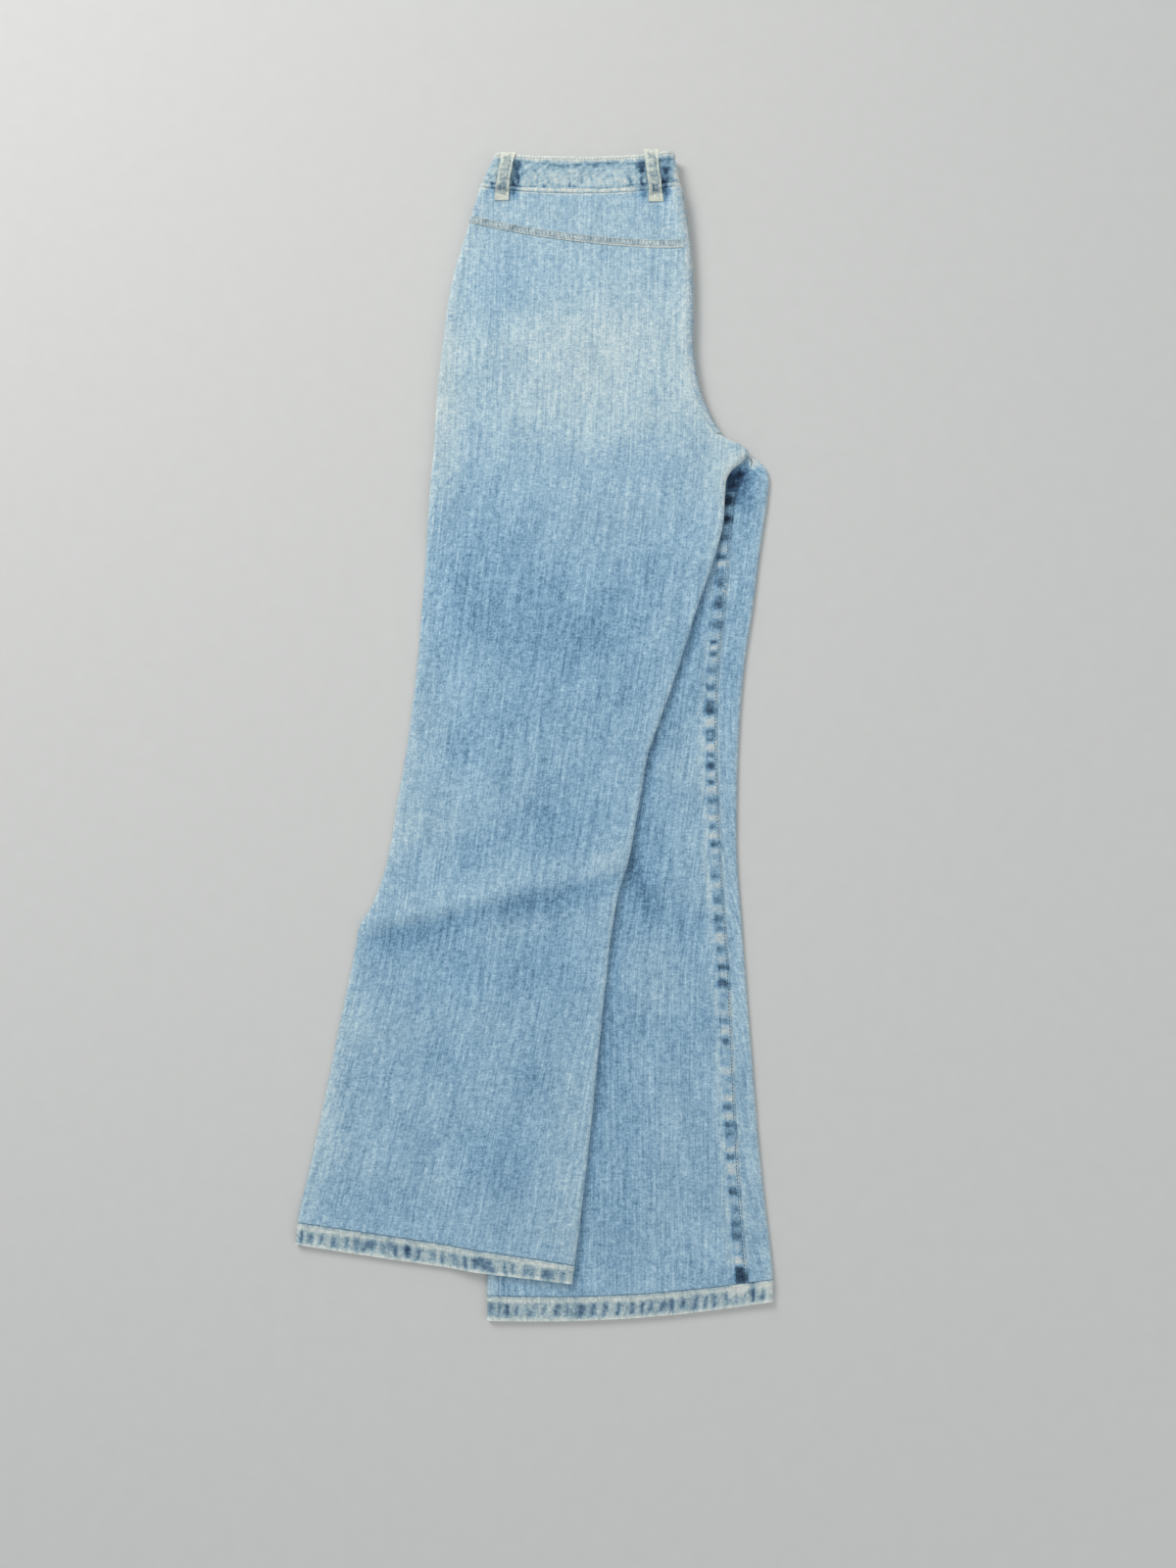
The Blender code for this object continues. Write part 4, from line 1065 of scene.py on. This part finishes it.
print("stitches made")


# Materials
def toLinear(colour):
    parts = [int(colour[place:place + 2], 16) / 255.0 for place in (1, 3, 5)]
    return [part / 12.92 if part <= 0.04045 else ((part + 0.055) / 1.055) ** 2.4 for part in parts] + [1.0]


def setInputs(material, node, values, links):
    for socket, value in values.items():
        node.inputs[socket].default_value = value
    for socket, source in links.items():
        material.node_tree.links.new(source, node.inputs[socket])


def addNode(material, kind, values=None, links=None, **settings):
    node = material.node_tree.nodes.new(kind)
    for name, setting in settings.items():
        setattr(node, name, setting)
    setInputs(material, node, values or {}, links or {})
    return node


def newMaterial(name):
    material = bpy.data.materials.new(name)
    material.use_nodes = True
    return material, material.node_tree.nodes["Principled BSDF"]


# Indigo-dyed cotton twill, stone washed: unworn indigo at one end of the ramp, bare cotton at the other
indigoWash = ((0.0, "#16283f"), (0.2, "#34526f"), (0.38, "#5c82a0"), (0.52, "#82a9c4"), (0.66, "#a0bfd1"),
              (0.80, "#bcd1d7"), (1.0, "#dcdfd8"))
loopRamp = ((0.0, "#1b2d45"), (0.3, "#53697b"), (0.5, "#8a9ca2"), (0.7, "#b0bbb6"), (0.85, "#c8cfc4"),
            (1.0, "#dbdecf"))
hemRamp = ((0.0, "#1f334c"), (0.25, "#465f78"), (0.45, "#6f8b9f"), (0.62, "#98b0ba"), (0.80, "#bccbca"),
           (1.0, "#dbe0d9"))
seamRamp = ((0.0, "#1a2c42"), (0.2, "#3b556b"), (0.38, "#5f8097"), (0.52, "#83a7bf"), (0.66, "#a0bdcd"),
            (0.80, "#bfccce"), (1.0, "#dcdfd8"))
yokeSeamRamp = ((0.0, "#2a3a47"), (0.25, "#566871"), (0.45, "#7d9098"), (0.60, "#a0b3ba"), (0.78, "#bccbcc"),
                (1.0, "#dcdfd8"))
waistRamp = ((0.0, "#1a2c44"), (0.2, "#38546d"), (0.38, "#64859b"), (0.52, "#8aaabb"), (0.66, "#a8c1cb"),
             (0.80, "#bed0d2"), (1.0, "#dde0d8"))
# Slubby warp yarns run down the leg. Real ones are 0.6 mm apart, drawn 1.2 mm so that they show. A pattern
# has a width and a run in mm, and a swing. dye: its share of colour; shade: its share of lightness
denimLook = {"yarn": 1.2, "yarnRun": 32.0, "slub": 2.9, "slubRun": 76.0, "weft": 1.3, "weftRun": 7.0,
             "grain": 2.0, "grainRun": 2.4, "cloud": 5.5, "cloudRun": 6.5, "patch": 30.0, "patchRun": 50.0,
             "yarnTone": 0.30, "slubTone": 0.30, "weftTone": 0.24, "grainTone": 0.36, "cloudTone": 0.36,
             "patchTone": 0.16, "dye": 0.65, "shade": 0.85, "bump": 0.4, "relief": 0.5, "roughness": 0.92,
             "specular": 0.25, "fluff": 0.08, "fluffRoughness": 0.6, "ramp": indigoWash}
denimPatterns = (("yarn", 2.0), ("slub", 2.0), ("weft", 1.0), ("grain", 1.0), ("cloud", 2.0), ("patch", 1.0))
patternRoughness = 0.6


def denimMaterial(name, shift, look):
    material, shader = newMaterial(name)
    threads = addNode(material, "ShaderNodeUVMap", uv_map="threads")
    wash = addNode(material, "ShaderNodeAttribute", attribute_name="wash")
    textures = {}
    swings = addNode(material, "ShaderNodeValue").outputs[0]  # 0: the patterns are added to it
    for pattern, detail in denimPatterns:
        scale = (1.0 / (look[pattern] * mm), 1.0 / (look[pattern + "Run"] * mm), 1.0)
        if pattern == "weft":
            scale = (scale[1], scale[0], 1.0)
        place = addNode(material, "ShaderNodeMapping",
                        {"Location": (shift, shift * 0.7, shift), "Scale": scale},
                        {"Vector": threads.outputs["UV"]})
        texture = addNode(material, "ShaderNodeTexNoise",
                          {"Scale": 1.0, "Detail": detail, "Roughness": patternRoughness},
                          {"Vector": place.outputs["Vector"]}, noise_dimensions="2D")
        textures[pattern] = texture.outputs["Fac"]
        swing = addNode(material, "ShaderNodeMath", {1: 0.5}, {0: texture.outputs["Fac"]},
                        operation="SUBTRACT")
        swings = addNode(material, "ShaderNodeMath", {1: look[pattern + "Tone"]},
                         {0: swing.outputs[0], 2: swings}, operation="MULTIPLY_ADD").outputs[0]
    tone = addNode(material, "ShaderNodeMath", {1: look["dye"]}, {0: swings, 2: wash.outputs["Fac"]},
                   operation="MULTIPLY_ADD")
    shade = addNode(material, "ShaderNodeMath", {1: look["shade"], 2: 1.0}, {0: swings},
                    operation="MULTIPLY_ADD")
    ramp = addNode(material, "ShaderNodeValToRGB", links={"Fac": tone.outputs[0]})
    stops = ramp.color_ramp.elements
    while len(stops) < len(look["ramp"]):
        stops.new(0.5)
    for stop, (place, colour) in zip(stops, look["ramp"]):
        stop.position = place
        stop.color = toLinear(colour)
    relief = addNode(material, "ShaderNodeMath", {}, {0: textures["yarn"], 1: textures["weft"]},
                     operation="ADD")
    bump = addNode(material, "ShaderNodeBump", {"Strength": look["bump"], "Distance": look["relief"] * mm},
                   {"Height": relief.outputs[0]})
    colour = addNode(material, "ShaderNodeVectorMath", {},
                     {0: ramp.outputs["Color"], "Scale": shade.outputs[0]}, operation="SCALE")
    setInputs(material, shader, {
        "Roughness": look["roughness"],  # matt cotton
        "Specular IOR Level": look["specular"],
        "Sheen Weight": look["fluff"],  # loose fibres
        "Sheen Roughness": look["fluffRoughness"],
    }, {"Base Color": colour.outputs[0], "Normal": bump.outputs["Normal"]})
    return material


def speckledMaterial(name, dark, pale, look):  # two tones, mixed by a fine noise of this size in mm
    material, shader = newMaterial(name)
    place = addNode(material, "ShaderNodeTexCoord")
    speckle = addNode(material, "ShaderNodeTexNoise",
                      {"Scale": 1.0 / (look["size"] * mm), "Detail": look["detail"]},
                      {"Vector": place.outputs["Object"]})
    mix = addNode(material, "ShaderNodeMix", {6: dark, 7: pale}, {0: speckle.outputs["Fac"]},
                  data_type="RGBA")
    setInputs(material, shader, {"Roughness": look["roughness"], "Metallic": look["metallic"]},
              {"Base Color": mix.outputs[2]})
    return material


def finish(piece, material):
    piece.data.materials.clear()
    piece.data.materials.append(material)


weaves = {
    "leg_denim": ("washedDenim", {}),
    "yoke_denim": ("washedDenimYoke", {}),
    "waist_denim": ("washedDenimWaist", {"ramp": waistRamp, "yarnTone": 0.2, "slubTone": 0.2}),
    "seam_denim": ("washedDenimSeam", {"ramp": seamRamp, "yarnTone": 0.2, "slubTone": 0.15}),
    "hem_denim": ("ropedDenimHem", {"ramp": hemRamp, "yarnTone": 0.16, "slubTone": 0.14}),
    "loop_denim": ("wornDenimLoop", {"ramp": loopRamp}),
    "yoke_seam": ("wornDenimYokeSeam", {"ramp": yokeSeamRamp, "yarnTone": 0.2, "slubTone": 0.15}),
}
weaveShift = 0.37  # so that no two pieces have the same part of the weave
made = {}
for number, (slot, (name, changes)) in enumerate(weaves.items()):
    shift = 2.9 if slot == "yoke_seam" else weaveShift * number
    made[slot] = denimMaterial(name, shift, dict(denimLook, **changes))
for node, piece in dressed.items():
    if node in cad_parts:
        finish(piece, made[piece["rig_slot"]])
finish(dressed["yoke_seam_left"], made["yoke_seam"])

# Spun polyester thread, slightly shiny, with fibres too fine to show drawn 1.1 mm
fibres = {"size": 1.1111, "detail": 2.0, "roughness": 0.6, "metallic": 0.0, "darker": 0.6}
threadColours = {
    "inseamStitches": ("slateThread", "#3c5263"), "yokeStitches": ("greyThread", "#8c999d"),
    "seatStitches": ("greyThreadSeat", "#7d8789"), "waistStitches": ("slateThreadWaist", "#566c80"),
    "hemStitches": ("paleThread", "#c3ccca"),
}
for piece, (name, colour) in threadColours.items():
    pale = toLinear(colour)
    dark = [part * fibres["darker"] for part in pale[:3]] + [1.0]
    finish(dressed[piece], speckledMaterial(name, dark, pale, fibres))

# Stamped brass, gone dull: brown tarnish in 2.5 mm patches, and soft highlights
brass = {"size": 2.5, "detail": 3.0, "roughness": 0.38, "metallic": 1.0}
dullBrass = speckledMaterial("dullBrass", toLinear("#7d6433"), toLinear("#c4a765"), brass)
finish(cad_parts["waist_button"], dullBrass)
print("materials made")

# Floor, painted matt, and light
studio = {"floor": ("#d4d3cf", "#d9d8d4"), "floorSize": 8.0, "sky": 0.55, "skyColour": "#eef3f8"}
mattPaint = {"size": 16.667, "detail": 3.0, "roughness": 0.9, "metallic": 0.0}
softLights = {"windowLight": (34.0, (-1.3, 1.5, 1.7), 1.1), "fillLight": (7.0, (1.6, -0.6, 1.8), 2.0)}


def addFloor():
    bpy.ops.mesh.primitive_plane_add(size=studio["floorSize"])
    floor = bpy.context.object
    floor.name = "studioFloor"
    finish(floor, speckledMaterial("mattFloor", *map(toLinear, studio["floor"]), mattPaint))


def addSoftLight(name, power, place, size):
    light = bpy.data.lights.new(name, "AREA")
    light.energy = power
    light.size = size
    lamp = bpy.data.objects.new(name, light)
    lamp.location = place
    lamp.rotation_euler = (-Vector(place)).to_track_quat("-Z", "Y").to_euler()
    bpy.context.scene.collection.objects.link(lamp)


addFloor()
for name, (power, place, size) in softLights.items():
    addSoftLight(name, power, place, size)
world = bpy.data.worlds.new("softSky")
world.use_nodes = True
sky = world.node_tree.nodes["Background"]
sky.inputs["Color"].default_value = toLinear(studio["skyColour"])
sky.inputs["Strength"].default_value = studio["sky"]
bpy.context.scene.world = world
bpy.context.scene.view_settings.view_transform = "Standard"
print("floor and lights made")
